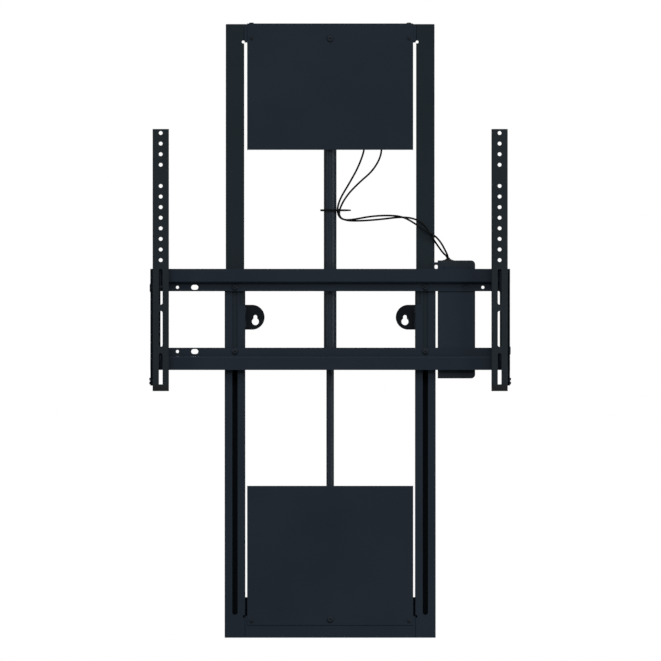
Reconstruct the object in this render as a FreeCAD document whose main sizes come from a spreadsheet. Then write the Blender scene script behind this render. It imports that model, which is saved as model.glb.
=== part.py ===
import FreeCAD, Part
import math
import os
import re

import Sketcher

os.makedirs("parts", exist_ok=True)

# Motorized wall mount for a television, drawn with its lift fully raised.
# x runs to the right, d is the distance out from the wall (y = -d), and a height is
# measured up from the lower edge of the frame. The origin is the middle of the four
# wall bolts, on the wall.

SIZES = [
    ("rail_spacing", 450.0, "centre to centre of the two rails"),
    ("frame_sheet", 2.0, "sheet of the rails and cross plates"),
    ("bend_radius", 2.5, "outside radius of a fold in the frame sheet"),
    ("corner_chamfer", 1.8, "cut corners at the ends of the frame"),
    ("outer_rail_width", 48.6, "fixed rail, across"),
    ("outer_rail_depth", 60.0, "fixed rail, out from the wall"),
    ("outer_rail_top", 850.0, "upper end of the fixed rail"),
    ("outer_flange_top", 787.0, "where the inner side of the fixed rail stops"),
    ("outer_front_step", 12.9, "how much of its front stops there as well"),
    ("guide_slot_width", 12.5, "slot in the front of the fixed rail"),
    ("guide_slot_bottom", 54.1, "lower end of that slot"),
    ("rail_clearance", 0.6, "gap between the fixed and the sliding rail"),
    ("inner_rail_bottom", 645.0, "lower end of the sliding rail"),
    ("upper_frame_top", 1450.3, "upper edge of the sliding frame"),
    ("top_plate_rise", 43.7, "height of the top cross plate"),
    ("front_plate_top", 51.7, "upper edge of the lower front plate"),
    ("relief_radius", 3.5, "round relief where a flange fold starts"),
    ("relief_inset", 2.1, "relief centre, in from the edge of the rail"),
    ("relief_rise", 1.4, "relief centre, past the edge of the plate"),
    ("wall_plate_height", 95.4, "lower wall plate"),
    ("wall_plate_sheet", 3.0, "thickness of the lower wall plate"),
    ("wall_hole_radius", 4.5, "wall bolt holes"),
    ("wall_hole_spacing", 300.0, "wall bolt holes, across"),
    ("wall_hole_rise", 50.0, "wall bolt holes, row to row"),
    ("ear_sheet", 2.5, "keyhole bracket"),
    ("ear_radius", 29.4, "round end of the keyhole bracket"),
    ("ear_inset", 7.7, "centre of that round end, from the keyhole, towards the rail"),
    ("ear_rise", 10.4, "centre of that round end, above the keyhole"),
    ("ear_flange_depth", 50.0, "flange of the bracket along the rail"),
    ("keyhole_centre", 176.9, "keyhole, from the middle"),
    ("keyhole_height", 747.1, "keyhole, height of its round part"),
    ("keyhole_radius", 8.25, "round part of the keyhole"),
    ("keyhole_neck", 8.7, "width of the keyhole neck"),
    ("keyhole_rise", 11.3, "from the round part to the end of the neck"),
    ("cover_width", 392.3, "sheet covers, across"),
    ("cover_sheet", 1.5, "sheet of the covers"),
    ("cover_back", 14.0, "how far from the wall the cover flanges stop"),
    ("cover_bend", 1.3, "outside radius of a fold in a cover"),
    ("lower_cover_bottom", 29.8, "lower cover, lower edge"),
    ("lower_cover_top", 359.0, "lower cover, upper edge"),
    ("top_cover_bottom", 1153.0, "upper cover, lower edge"),
    ("flange_gap", 1.0, "gap between a cover flange and the cross plate"),
    ("cover_screw_x", 186.0, "cover screws, from the middle"),
    ("lower_screw_height", 39.9, "lower cover screws"),
    ("upper_screw_drop", 33.5, "upper cover screws, below the top of the frame"),
    ("top_screw_depth", 38.0, "screws in the top of the upper cover, from the wall"),
    ("cover_screw_head", 4.4, "head radius of a cover screw"),
    ("cover_screw_rise", 2.4, "head height of a cover screw"),
    ("top_screw_head", 5.6, "head radius of the screws in the top"),
    ("cover_screw_shank", 2.0, "shank radius of a cover screw"),
    ("cover_screw_reach", 9.0, "shank length of a cover screw"),
    ("screw_play", 0.1, "a hole is this much larger in radius than its screw"),
    ("anchor_bolt_height", 43.5, "bolt of the lower actuator bracket"),
    ("hanger_bolt_drop", 34.6, "bolt of the upper actuator bracket, below the top of the frame"),
    ("anchor_bolt_head", 7.5, "head radius of those two bolts"),
    ("anchor_bolt_rise", 4.0, "head height of those two bolts"),
    ("anchor_bolt_shank", 4.0, "shank radius of those two bolts"),
    ("anchor_nut_across", 13.0, "their nuts, across the flats"),
    ("anchor_nut_rise", 6.4, "their nuts, thickness"),
    ("bracket_sheet", 3.0, "sheet of the actuator brackets"),
    ("bracket_half_width", 25.0, "half the width of a bracket base"),
    ("bracket_play", 0.3, "gap between a bracket ear and what it holds"),
    ("bracket_back", 20.0, "how far from the wall the ears stop"),
    ("actuator_depth", 32.0, "axis of the actuator, from the wall"),
    ("anchor_pin_height", 18.0, "lower pin of the actuator"),
    ("anchor_ear_top", 31.0, "top of the lower ears"),
    ("hanger_pin_drop", 29.3, "upper pin of the actuator, below the top of the frame"),
    ("hanger_pin_gap", 28.0, "upper pin of the actuator, above the motor"),
    ("hanger_ear_rise", 13.0, "ear above and below the upper pin"),
    ("pin_radius", 4.0, "both actuator pins"),
    ("pin_head_radius", 6.0, "heads of both pins"),
    ("pin_head_rise", 2.0, "height of those heads"),
    ("running_play", 0.05, "radial gap of a turning or sliding fit"),
    ("rod_radius", 9.0, "actuator rod"),
    ("rod_bore", 6.75, "bore of the actuator rod"),
    ("rod_bottom", 6.0, "lower end of the rod"),
    ("rod_bore_bottom", 44.0, "lower end of its bore"),
    ("rod_top", 652.0, "upper end of the rod"),
    ("nut_radius", 13.0, "nut on the rod"),
    ("nut_rise", 26.0, "length of the nut"),
    ("tube_radius", 15.0, "actuator tube"),
    ("tube_wall", 1.8, "wall of the tube"),
    ("tube_bottom", 640.0, "lower end of the tube"),
    ("bush_flange", 6.0, "wiper bush below the tube"),
    ("bush_spigot", 5.0, "wiper bush inside the tube"),
    ("slide_play", 0.2, "radial gap of the rod and the nut"),
    ("screw_radius", 6.0, "lead screw"),
    ("screw_bottom", 650.5, "lower end of the lead screw"),
    ("housing_radius", 19.0, "bearing housing"),
    ("housing_skirt", 10.0, "housing below the top of the tube"),
    ("housing_floor", 4.0, "floor between tube and bearing"),
    ("bearing_radius", 14.0, "bearing"),
    ("bearing_rise", 12.0, "width of the bearing"),
    ("coupling_radius", 11.0, "shaft coupling"),
    ("coupling_rise", 16.0, "length of the coupling"),
    ("coupling_gap", 1.0, "free space at each end of the coupling"),
    ("shaft_radius", 5.0, "gearbox shaft"),
    ("gearbox_radius", 21.0, "gearbox"),
    ("gearbox_rise", 40.0, "length of the gearbox"),
    ("motor_radius", 18.0, "motor"),
    ("motor_rise", 44.0, "length of the motor"),
    ("tongue_half", 9.0, "half the thickness of the motor's hanging tongue"),
    ("terminal_gap", 7.0, "underside of the cable terminal, above the foot of the gearbox"),
    ("terminal_rise", 18.0, "height of the terminal"),
    ("terminal_reach", 31.0, "outer side of the terminal, from the middle"),
    ("terminal_half", 7.0, "half the depth of the terminal"),
    ("shoe_foot", 4.0, "foot of the glide shoe"),
    ("shoe_plug", 18.0, "plug of the glide shoe inside the rail"),
    ("shoe_play", 0.3, "gap between the glide shoe and the fixed rail"),
    ("plug_play", 0.1, "gap between the plug and the sliding rail"),
    ("bar_end", 0.4, "end of a crossbar, past the hook channel"),
    ("crossbar_sheet", 3.0, "sheet of the crossbars"),
    ("crossbar_back", 64.0, "back of the crossbars, from the wall"),
    ("crossbar_front", 82.0, "front of the crossbars, from the wall"),
    ("upper_bar_top", 871.8, "upper crossbar, free edge"),
    ("upper_bar_step", 839.3, "upper crossbar, underside of the step"),
    ("upper_bar_bottom", 818.9, "upper crossbar, lower edge"),
    ("lower_bar_top", 685.5, "lower crossbar, upper edge"),
    ("lower_bar_step", 665.3, "lower crossbar, top of the step"),
    ("lower_bar_bottom", 632.8, "lower crossbar, free edge"),
    ("upper_row", 828.1, "height of the upper row of holes"),
    ("lower_row", 676.5, "height of the lower row of holes"),
    ("bar_hole_inset", 64.2, "round holes, from the end of the bar"),
    ("bar_hole_radius", 3.65, "round holes"),
    ("bar_slot_inset", 105.0, "long holes, from the end of the bar"),
    ("bar_slot_length", 16.8, "long holes, end to end"),
    ("bar_slot_width", 11.6, "long holes, across"),
    ("bar_bend", 3.4, "outside radius of a fold in a crossbar"),
    ("bar_bolt_radius", 4.0, "bolts that hold the crossbars"),
    ("bar_bolt_head", 7.0, "their head radius"),
    ("bar_bolt_rise", 4.4, "their head height"),
    ("spacer_radius", 5.75, "spacers through the guide slot"),
    ("box_gap", 5.0, "from the fixed rail to the control box"),
    ("box_width", 88.3, "control box, across"),
    ("box_bottom", 612.9, "control box, underside"),
    ("box_top", 891.7, "control box, top"),
    ("box_back", 22.0, "control box, from the wall"),
    ("box_wall", 2.0, "walls of the control box"),
    ("box_corner", 9.6, "rounded outer corners of the control box"),
    ("lid_sheet", 2.0, "lid of the control box"),
    ("lid_inset", 1.0, "how far the lid stands inside the outline"),
    ("plate_sheet", 2.0, "mounting plate of the control box"),
    ("plate_inset", 2.0, "plate inside the box outline"),
    ("plate_bottom", 638.0, "lower edge of the plate"),
    ("plate_top", 880.0, "upper edge of the plate"),
    ("tab_reach", 11.3, "hanging tab of the plate, towards the rail from the box"),
    ("tab_lap", 7.7, "hanging tab, past the side of the box"),
    ("tab_bottom", 850.0, "hanging tab, lower end"),
    ("tab_top", 887.4, "hanging tab, upper end"),
    ("tab_hole_inset", 3.8, "hole in the tab, from the side of the box"),
    ("tab_hole_height", 876.5, "height of that hole"),
    ("tab_hole_radius", 4.75, "radius of that hole"),
    ("boss_inset", 14.0, "bosses and screws, in from the box sides"),
    ("board_bottom", 650.0, "lower end of the circuit board"),
    ("board_top", 860.0, "upper end of the circuit board"),
    ("board_inset", 6.0, "board, in from the box sides"),
    ("board_sheet", 1.6, "thickness of the board"),
    ("boss_radius", 4.0, "bosses under the board"),
    ("boss_rise", 8.0, "height of the bosses"),
    ("supply_rise", 24.0, "power supply block on the board"),
    ("inlet_inset", 43.7, "mains inlet, centre, from the side of the box"),
    ("inlet_length", 30.0, "mains inlet, across"),
    ("inlet_depth", 22.0, "mains inlet, out from the wall"),
    ("inlet_rise", 20.0, "mains inlet, height"),
    ("inlet_wall", 2.5, "walls of the mains inlet"),
    ("inlet_axis", 42.0, "mains inlet, from the wall"),
    ("gland_inset", 24.7, "cable gland, centre, from the side of the box"),
    ("gland_depth", 42.0, "cable gland, from the wall"),
    ("gland_base", 13.0, "cable gland, radius on the box"),
    ("gland_tip", 6.0, "cable gland, radius at the tip"),
    ("gland_rise", 6.5, "cable gland, height"),
    ("gland_neck", 9.0, "cable gland, radius in the wall of the box"),
    ("cable_radius", 2.2, "both cables"),
    ("tie_height", 1010.3, "cable tie, middle of its strap"),
    ("tie_width", 4.8, "width of the strap"),
    ("tie_strap", 1.3, "thickness of the strap"),
    ("tie_big", 18.2, "loop round the tube, inside radius"),
    ("tie_shift", 3.8, "how far that loop stands to the left"),
    ("tie_small", 6.7, "loop round the cables, inside radius"),
    ("tie_cable_x", 19.8, "middle of the two cables at the tie"),
    ("tie_cable_depth", 38.7, "middle of the two cables at the tie, from the wall"),
    ("tie_tail_end", 49.5, "end of the tail, from the middle"),
    ("hook_sheet", 2.0, "sheet of the hook channel"),
    ("hook_play", 0.3, "gap between the hook channel and a crossbar"),
    ("hook_reach", 24.6, "outer side of the hook channel, from the centre of the arm"),
    ("hook_width", 23.9, "hook channel, across"),
    ("hook_bottom", 596.0, "hook channel, lower end"),
    ("hook_drop", 20.0, "hook behind the free edge of the crossbar"),
    ("hook_relief_out", 5.6, "notch beside the hook, on the outer side"),
    ("hook_relief_in", 4.0, "notch beside the hook, on the inner side"),
    ("hook_relief_low", 634.0, "top of the lower notch, on the inner side"),
    ("hook_relief_drop", 0.6, "foot of the notches, below the free edge of the crossbar"),
    ("hook_front", 118.0, "front edges of the channel, from the wall"),
    ("hook_low_front", 106.0, "front edges near the lower end"),
    ("hook_taper_bottom", 630.0, "where the channel starts to deepen"),
    ("hook_taper_top", 655.0, "where the channel has its full depth"),
    ("arm_centre", 400.0, "television arm, from the middle"),
    ("arm_width", 38.3, "television arm, across"),
    ("arm_sheet", 2.5, "sheet of the arm"),
    ("arm_front", 125.0, "face of the arm, from the wall"),
    ("arm_flange", 25.0, "depth of the arm's side flanges"),
    ("arm_bottom", 583.0, "lower end of the arm"),
    ("arm_top", 1201.8, "upper end of the arm"),
    ("arm_deep_back", 86.0, "back of the deep part of the outer flange"),
    ("arm_deep_below", 6.8, "deep part, below the tilt pivot"),
    ("arm_deep_above", 18.1, "deep part, above the tilt guide bolt"),
    ("hole_first", 1192.3, "uppermost screw hole of the arm"),
    ("hole_pitch", 25.0, "from screw hole to screw hole"),
    ("hole_radius", 4.5, "screw holes of the arm"),
    ("slot_length", 84.5, "long slots of the arm, end to end"),
    ("slot_pitch", 99.6, "from long slot to long slot"),
    ("slot_first", 829.5, "middle of the uppermost long slot"),
    ("slot_radius", 4.3, "half the width of a long slot"),
    ("pivot_depth", 104.0, "tilt pivot, from the wall"),
    ("pivot_height", 678.8, "tilt pivot"),
    ("guide_depth", 110.0, "tilt guide bolt, from the wall"),
    ("guide_drop", 47.2, "tilt guide bolt, below the top of the hook channel"),
    ("tilt_run", 15.5, "length of the tilt slot"),
    ("tilt_slot_half", 5.0, "half the width of the tilt slot"),
    ("tilt_bolt_radius", 4.0, "pivot and guide bolts"),
    ("tilt_head_radius", 10.0, "their domed heads"),
    ("tilt_head_rise", 1.6, "height of those heads"),
    ("tilt_nut_across", 13.0, "their nuts, across the flats"),
    ("tilt_nut_rise", 5.0, "their nuts, thickness"),
    ("safety_depth", 88.4, "safety screw, from the wall"),
    ("safety_height", 606.8, "safety screw"),
    ("safety_radius", 3.0, "safety screw, shank"),
    ("safety_reach", 16.0, "safety screw, length of its shank"),
    ("safety_head", 8.0, "safety screw, head radius"),
    ("safety_rise", 2.6, "safety screw, head height"),
    ("safety_groove", 3.4, "driver slot in that head, across"),
    ("cap_rise", 16.0, "end cap of the arm, height"),
    ("cap_skin", 1.4, "end cap of the arm, thickness"),
    ("cap_pip", 1.6, "small round mark on the cap, radius"),
]

# Places that follow from other sizes.
SUMS = {
    "top_plate_bottom": "upper_frame_top - top_plate_rise",
    "upper_screw_height": "upper_frame_top - upper_screw_drop",
    "hanger_bolt_height": "upper_frame_top - hanger_bolt_drop",
    "hanger_pin_height": "upper_frame_top - hanger_pin_drop",
    "gearbox_foot": "hanger_pin_height - hanger_pin_gap - motor_rise - gearbox_rise",
    "terminal_height": "gearbox_foot + terminal_gap",
    "tube_top": "gearbox_foot - coupling_rise - 2 * coupling_gap - bearing_rise - housing_floor",
    "ear_centre": "keyhole_centre + ear_inset",
    "ear_height": "keyhole_height + ear_rise",
    "hook_outer": "arm_centre + hook_reach",
    "hook_inner": "arm_centre + hook_reach - hook_width",
    "crossbar_half_length": "arm_centre + hook_reach + bar_end",
    "bar_hole_x": "crossbar_half_length - bar_hole_inset",
    "bar_slot_x": "crossbar_half_length - bar_slot_inset",
    "box_left": "rail_spacing / 2 + outer_rail_width / 2 + box_gap",
    "box_right": "box_left + box_width",
    "tab_left": "box_left - tab_reach",
    "tab_right": "box_left + tab_lap",
    "tab_hole_x": "box_left - tab_hole_inset",
    "inlet_x": "box_left + inlet_inset",
    "gland_x": "box_left + gland_inset",
    "guide_height": "upper_bar_top + hook_play + hook_sheet - guide_drop",
    "arm_deep_bottom": "pivot_height - arm_deep_below",
    "arm_deep_top": "guide_height + arm_deep_above",
}

HOLE_COUNT = 13
PLAIN_HOLE = 4
SLOT_COUNT = 3
CLOSE = 1e-6

# The route of each cable: (x, d, height above the foot), chosen by hand.
MOTOR_CABLE_ROUTE = [
    (26.0, 35.0, 1316.0), (26.0, 35.0, 1282.0), (42.0, 37.0, 1244.0), (72.0, 39.0, 1208.0),
    (84.5, 40.0, 1164.0), (68.5, 41.0, 1116.0), (45.0, 42.0, 1073.5), (24.5, 41.9, 1040.0),
    (16.2, 41.6, 1014.0), (20.0, 42.5, 995.0), (33.5, 46.0, 986.8), (59.0, 51.8, 989.0),
    (92.0, 58.8, 995.5), (132.0, 66.5, 998.5), (170.0, 72.5, 996.0), (199.0, 73.5, 980.0),
    (222.0, 73.5, 962.5), (247.0, 72.0, 951.0), (262.0, 65.0, 934.0), (271.0, 56.0, 917.0),
    (277.0, 49.4, 905.5), (279.6, 45.6, 895.2),
]
SENSOR_CABLE_ROUTE = [
    (26.0, 29.0, 1316.0), (26.0, 29.0, 1284.0), (46.0, 30.0, 1250.0), (80.0, 31.0, 1214.0),
    (117.0, 32.0, 1186.0), (124.0, 33.0, 1147.0), (103.5, 34.0, 1106.0), (68.5, 35.0, 1076.0),
    (39.5, 35.5, 1046.0), (21.8, 35.7, 1014.0), (21.3, 36.9, 994.5), (36.5, 40.9, 986.2),
    (62.0, 46.6, 985.0), (94.0, 53.2, 986.6), (130.0, 60.5, 990.0), (166.0, 66.0, 994.5),
    (198.0, 67.2, 991.5), (222.0, 67.2, 977.0), (235.0, 67.2, 958.0), (244.0, 66.0, 941.5),
    (256.0, 59.0, 924.0), (267.5, 48.0, 908.5), (275.5, 41.5, 902.0), (278.3, 39.0, 895.2),
]

doc = FreeCAD.newDocument("tv_wall_mount")
sheet = doc.addObject("Spreadsheet::Sheet", "Sizes")
for row, (alias, number, note) in enumerate(SIZES, start=1):
    sheet.set("A%d" % row, note)
    sheet.set("B%d" % row, str(number))
    sheet.setAlias("B%d" % row, alias)
doc.recompute()

WORD = re.compile(r"[a-z][a-z_]+")
UP = FreeCAD.Rotation()
OUT = FreeCAD.Rotation(FreeCAD.Vector(1, 0, 0), 90)
RIGHT = FreeCAD.Rotation(FreeCAD.Vector(0, 1, 0), 90)
SIDES = (("left", -1), ("right", 1))
nodes = []


def size(alias):
    """The number in the sheet under a name."""
    return float(sheet.get(alias))


def spelled(word):
    """A named size as the sheet knows it, or the sum that a name stands for."""
    name = word.group(0)
    if name in SUMS:
        return "(%s)" % WORD.sub(spelled, SUMS[name])
    return "Sizes." + name


def bind(item, prop, text):
    """Ties a property to a sum of named sizes."""
    item.setExpression(prop, WORD.sub(spelled, text))


def place(item, x, d, h, turn=UP):
    """Puts an item at x, d out from the wall and h above the foot of the frame."""
    item.Placement = FreeCAD.Placement(FreeCAD.Vector(), turn)
    bind(item, "Placement.Base.x", x)
    bind(item, "Placement.Base.y", "-(%s)" % d)
    bind(item, "Placement.Base.z", "%s - wall_plate_height / 2" % h)


def slab(name, x, d, h, side=1):
    """A block between two values of x, d and h; side -1 mirrors it to the left."""
    item = doc.addObject("Part::Box", name)
    bind(item, "Length", "(%s) - (%s)" % (x[1], x[0]))
    bind(item, "Width", "(%s) - (%s)" % (d[1], d[0]))
    bind(item, "Height", "(%s) - (%s)" % (h[1], h[0]))
    place(item, x[0] if side > 0 else "-(%s)" % x[1], d[1], "(%s)" % h[0])
    return item


def bar(name, turn, x, d, h, radius, length, side=1):
    """A cylinder from the centre of its first face; side -1 mirrors it to the left."""
    item = doc.addObject("Part::Cylinder", name)
    bind(item, "Radius", radius)
    bind(item, "Height", length)
    first = x
    if side < 0:
        first = "-(%s) - (%s)" % (x, length) if turn is RIGHT else "-(%s)" % x
    place(item, first, d, "(%s)" % h, turn)
    return item


def nut(name, turn, x, d, h, across, length, side=1):
    """A six-sided prism, given across its flats."""
    item = doc.addObject("Part::Prism", name)
    item.Polygon = 6
    bind(item, "Circumradius", "(%s) / 2 / 0.8660254" % across)
    bind(item, "Height", length)
    first = x
    if side < 0:
        first = "-(%s) - (%s)" % (x, length) if turn is RIGHT else "-(%s)" % x
    place(item, first, d, "(%s)" % h, turn)
    return item


def joined(name, *pieces):
    """One solid from several that touch."""
    item = doc.addObject("Part::MultiFuse", name)
    item.Shapes = list(pieces)
    item.Refine = True
    return item


def cut(name, base, *tools):
    """A solid with others taken out of it."""
    item = doc.addObject("Part::Cut", name)
    item.Base = base
    item.Tool = tools[0] if len(tools) == 1 else joined(name + "_tools", *tools)
    return item


def group(name, *pieces):
    """Separate solids of one kind, kept together."""
    item = doc.addObject("Part::Compound", name)
    item.Links = list(pieces)
    return item


def rounded(name, base, radius, chosen):
    """Rounds the edges that chosen(edge, box) picks, box being the solid's own box."""
    doc.recompute()
    item = doc.addObject("Part::Fillet", name)
    item.Base = base
    picks = []
    for number, edge in enumerate(base.Shape.Edges, start=1):
        if chosen(edge, base.Shape.BoundBox):
            picks.append((number, radius, radius))
    item.Edges = picks
    return item


def folded(name, plane, outline, length, x="0", d="0", h="wall_plate_height / 2"):
    """A body padded from an outline of corner points, each a pair of sums of sizes."""
    body = doc.addObject("PartDesign::Body", name)
    flat = [item for item in body.Origin.OriginFeatures if item.Role == plane][0]
    sketch = body.newObject("Sketcher::SketchObject", name + "_outline")
    sketch.AttachmentSupport = [(flat, "")]
    sketch.MapMode = "FlatFace"
    count = len(outline)
    ring = [FreeCAD.Vector(math.cos(2 * math.pi * k / count), math.sin(2 * math.pi * k / count), 0)
            for k in range(count)]
    for k in range(count):
        sketch.addGeometry(Part.LineSegment(ring[k], ring[(k + 1) % count]), False)
    for k in range(count):
        sketch.addConstraint(Sketcher.Constraint("Coincident", k, 2, (k + 1) % count, 1))
    for k, corner in enumerate(outline):
        for kind, text, start in zip(("DistanceX", "DistanceY"), corner, (ring[k].x, ring[k].y)):
            number = sketch.addConstraint(Sketcher.Constraint(kind, -1, 1, k, 1, start))
            bind(sketch, "Constraints[%d]" % number, text)
    pad = body.newObject("PartDesign::Pad", name + "_pad")
    pad.Profile = sketch
    bind(pad, "Length", length)
    place(body, x, d, "(%s)" % h)
    return body


def node(label, item):
    """Marks an item as a finished piece under its own name."""
    item.Label = label
    nodes.append((label, item))
    return item


def runs_along(edge, axis):
    """True for a straight edge along x, y or z."""
    ends = edge.BoundBox
    spans = {"x": ends.XLength, "y": ends.YLength, "z": ends.ZLength}
    across = [span for name, span in spans.items() if name != axis]
    return spans[axis] > CLOSE and max(across) < CLOSE


def vertical(edge, box):
    """Every upright edge."""
    return runs_along(edge, "z")


def vertical_front(edge, box):
    """Upright edges on the front face, at its two sides."""
    ends = edge.BoundBox
    at_front = abs(ends.YMin - box.YMin) < CLOSE
    at_side = min(abs(ends.XMin - box.XMin), abs(ends.XMax - box.XMax)) < CLOSE
    return runs_along(edge, "z") and at_front and at_side


def outer_ring(edge, box):
    """The circle on the outward face of a round head."""
    ends = edge.BoundBox
    return abs(ends.YMin - box.YMin) < CLOSE and abs(ends.YMax - box.YMin) < CLOSE


# Sums that several pieces share.
RAIL_X = "rail_spacing / 2"
RAIL_INSIDE = "(rail_spacing / 2 - outer_rail_width / 2)"
RAIL_OUTSIDE = "(rail_spacing / 2 + outer_rail_width / 2)"
SLIDE_HALF = "(outer_rail_width / 2 - frame_sheet - rail_clearance)"
SLIDE_INSIDE = "(rail_spacing / 2 - %s)" % SLIDE_HALF
SLIDE_OUTSIDE = "(rail_spacing / 2 + %s)" % SLIDE_HALF
SLIDE_BACK = "(frame_sheet + rail_clearance)"
SLIDE_FRONT = "(outer_rail_depth - frame_sheet - rail_clearance)"


def cover_screw(name, turn, x, d, h, side, head="cover_screw_head"):
    """A low round head with its shank behind it, the head standing on (x, d, h)."""
    if turn is OUT:
        shank_d, shank_h = "(%s) - cover_screw_reach" % d, h
    else:
        shank_d, shank_h = d, "(%s) - cover_screw_reach" % h
    shank = bar(name + "_shank", turn, x, shank_d, shank_h, "cover_screw_shank",
                "cover_screw_reach", side)
    top = bar(name + "_top", turn, x, d, h, head, "cover_screw_rise", side)
    return joined(name, shank, top)


def anchor_bolt(name, face, base_back, height):
    """A domed bolt through cover, plate and bracket, and its nut behind the bracket."""
    head = bar(name + "_head", OUT, "0", face, height, "anchor_bolt_head", "anchor_bolt_rise")
    dome = rounded(name + "_dome", head, 0.85 * size("anchor_bolt_rise"), outer_ring)
    end = "(%s) - anchor_nut_rise - screw_play" % base_back
    shank = bar(name + "_shank", OUT, "0", end, height, "anchor_bolt_shank",
                "(%s) - (%s)" % (face, end))
    ring = nut(name + "_ring", OUT, "0", "(%s) - anchor_nut_rise" % base_back, height,
               "anchor_nut_across", "anchor_nut_rise")
    bore = bar(name + "_bore", OUT, "0", "(%s) - anchor_nut_rise" % base_back, height,
               "anchor_bolt_shank", "anchor_nut_rise")
    return group(name, joined(name + "_bolt", dome, shank), cut(name + "_nut", ring, bore))


def fork_bracket(name, plate_back, base, ears, pin_height, bolt_height):
    """A base plate bolted behind a cross plate, with two ears that hold a pin."""
    base_back = "(%s) - bracket_sheet" % plate_back
    pieces = [slab(name + "_base", ("-bracket_half_width", "bracket_half_width"),
                   (base_back, plate_back), base)]
    inner = "(tongue_half + bracket_play)"
    for word, side in SIDES:
        pieces.append(slab(name + "_ear_" + word, (inner, inner + " + bracket_sheet"),
                           ("bracket_back", base_back), ears, side))
    pin_hole = bar(name + "_pin_hole", RIGHT, "-bracket_half_width", "actuator_depth", pin_height,
                   "pin_radius + running_play", "2 * bracket_half_width")
    bolt_hole = bar(name + "_bolt_hole", OUT, "0", "bracket_back", bolt_height,
                    "anchor_bolt_shank + screw_play", "(%s) - bracket_back + 1" % plate_back)
    return cut(name, joined(name + "_folded", *pieces), pin_hole, bolt_hole)


def fork_pin(name, height):
    """A headed pin across the ears, with a clip at its other end."""
    reach = "(tongue_half + bracket_play + bracket_sheet)"
    body = bar(name + "_body", RIGHT, "-%s" % reach, "actuator_depth", height, "pin_radius",
               "2 * %s" % reach)
    head = bar(name + "_head", RIGHT, reach, "actuator_depth", height, "pin_head_radius",
               "pin_head_rise")
    clip = bar(name + "_clip", RIGHT, "-%s - pin_head_rise / 2" % reach, "actuator_depth", height,
               "pin_head_radius", "pin_head_rise / 2")
    return joined(name, body, head, clip)


# Fixed rails: welded tubes with a long slot in front, cut open towards the middle above.
for word, side in SIDES:
    name = "outer_rail_" + word
    height = ("frame_sheet", "outer_rail_top")
    outside = slab(name + "_outside", (RAIL_INSIDE, RAIL_OUTSIDE), ("0", "outer_rail_depth"), height, side)
    tube = rounded(name + "_tube", outside, size("bend_radius"), vertical)
    hollow = slab(name + "_hollow", (RAIL_INSIDE + " + frame_sheet", RAIL_OUTSIDE + " - frame_sheet"),
                  ("frame_sheet", "outer_rail_depth - frame_sheet"), ("0", "outer_rail_top + 1"), side)
    slot_end = "guide_slot_bottom + guide_slot_width / 2"
    slot_start = "outer_rail_depth - 2 * frame_sheet"
    slot = slab(name + "_slot", (RAIL_X + " - guide_slot_width / 2", RAIL_X + " + guide_slot_width / 2"),
                (slot_start, "outer_rail_depth + 1"), (slot_end, "outer_rail_top + 1"), side)
    slot_round = bar(name + "_slot_end", OUT, RAIL_X, slot_start, slot_end, "guide_slot_width / 2",
                     "2 * frame_sheet + 1", side)
    open_side = slab(name + "_open_side", (RAIL_INSIDE + " - 1", RAIL_INSIDE + " + outer_front_step"),
                     ("frame_sheet", "outer_rail_depth + 1"), ("outer_flange_top", "outer_rail_top + 1"),
                     side)
    relief = bar(name + "_relief", OUT, RAIL_INSIDE + " + relief_inset", slot_start,
                 "front_plate_top - relief_rise", "relief_radius", "2 * frame_sheet + 1", side)
    node(name, cut(name, tube, hollow, slot, slot_round, open_side, relief))

# Lower front plate: closes the fixed frame below, with a flange under both rails.
web = slab("front_plate_web", ("-" + RAIL_INSIDE, RAIL_INSIDE),
           ("outer_rail_depth - frame_sheet", "outer_rail_depth"), ("0", "front_plate_top"))
flange = slab("front_plate_flange", ("-" + RAIL_OUTSIDE, RAIL_OUTSIDE), ("0", "outer_rail_depth"),
              ("0", "frame_sheet"))
tools = [bar("front_plate_bolt_hole", OUT, "0", "outer_rail_depth - 2 * frame_sheet", "anchor_bolt_height",
             "anchor_bolt_shank + screw_play", "2 * frame_sheet + 1")]
for word, side in SIDES:
    tools.append(bar("front_plate_screw_hole_" + word, OUT, "cover_screw_x",
                     "outer_rail_depth - 2 * frame_sheet", "lower_screw_height",
                     "cover_screw_shank + screw_play", "2 * frame_sheet + 1", side))
    tools.append(bar("front_plate_relief_" + word, OUT, RAIL_INSIDE + " + relief_inset",
                     "outer_rail_depth - 2 * frame_sheet", "front_plate_top - relief_rise",
                     "relief_radius", "2 * frame_sheet + 1", side))


def lower_corner(edge, box):
    """The two lower end edges, along the depth."""
    ends = edge.BoundBox
    at_end = min(abs(ends.XMin - box.XMin), abs(ends.XMax - box.XMax)) < CLOSE
    return runs_along(edge, "y") and at_end and abs(ends.ZMin - box.ZMin) < CLOSE


front_plate = rounded("front_plate_rounded", joined("front_plate_folded", web, flange),
                      size("corner_chamfer"), lower_corner)
node("lower_front_plate", cut("lower_front_plate", front_plate, *tools))

# Lower wall plate: the back of the frame, bolted to the wall through four holes.
plate = slab("wall_plate_blank", ("-" + RAIL_INSIDE, RAIL_INSIDE), ("0", "wall_plate_sheet"),
             ("frame_sheet", "wall_plate_height"))
tools = []
for word, side in SIDES:
    for row, sign in (("upper", "+"), ("lower", "-")):
        tools.append(bar("wall_hole_%s_%s" % (row, word), OUT, "wall_hole_spacing / 2", "-1",
                         "wall_plate_height / 2 %s wall_hole_rise / 2" % sign, "wall_hole_radius",
                         "wall_plate_sheet + 2", side))
node("lower_wall_plate", cut("lower_wall_plate", plate, *tools))

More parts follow.
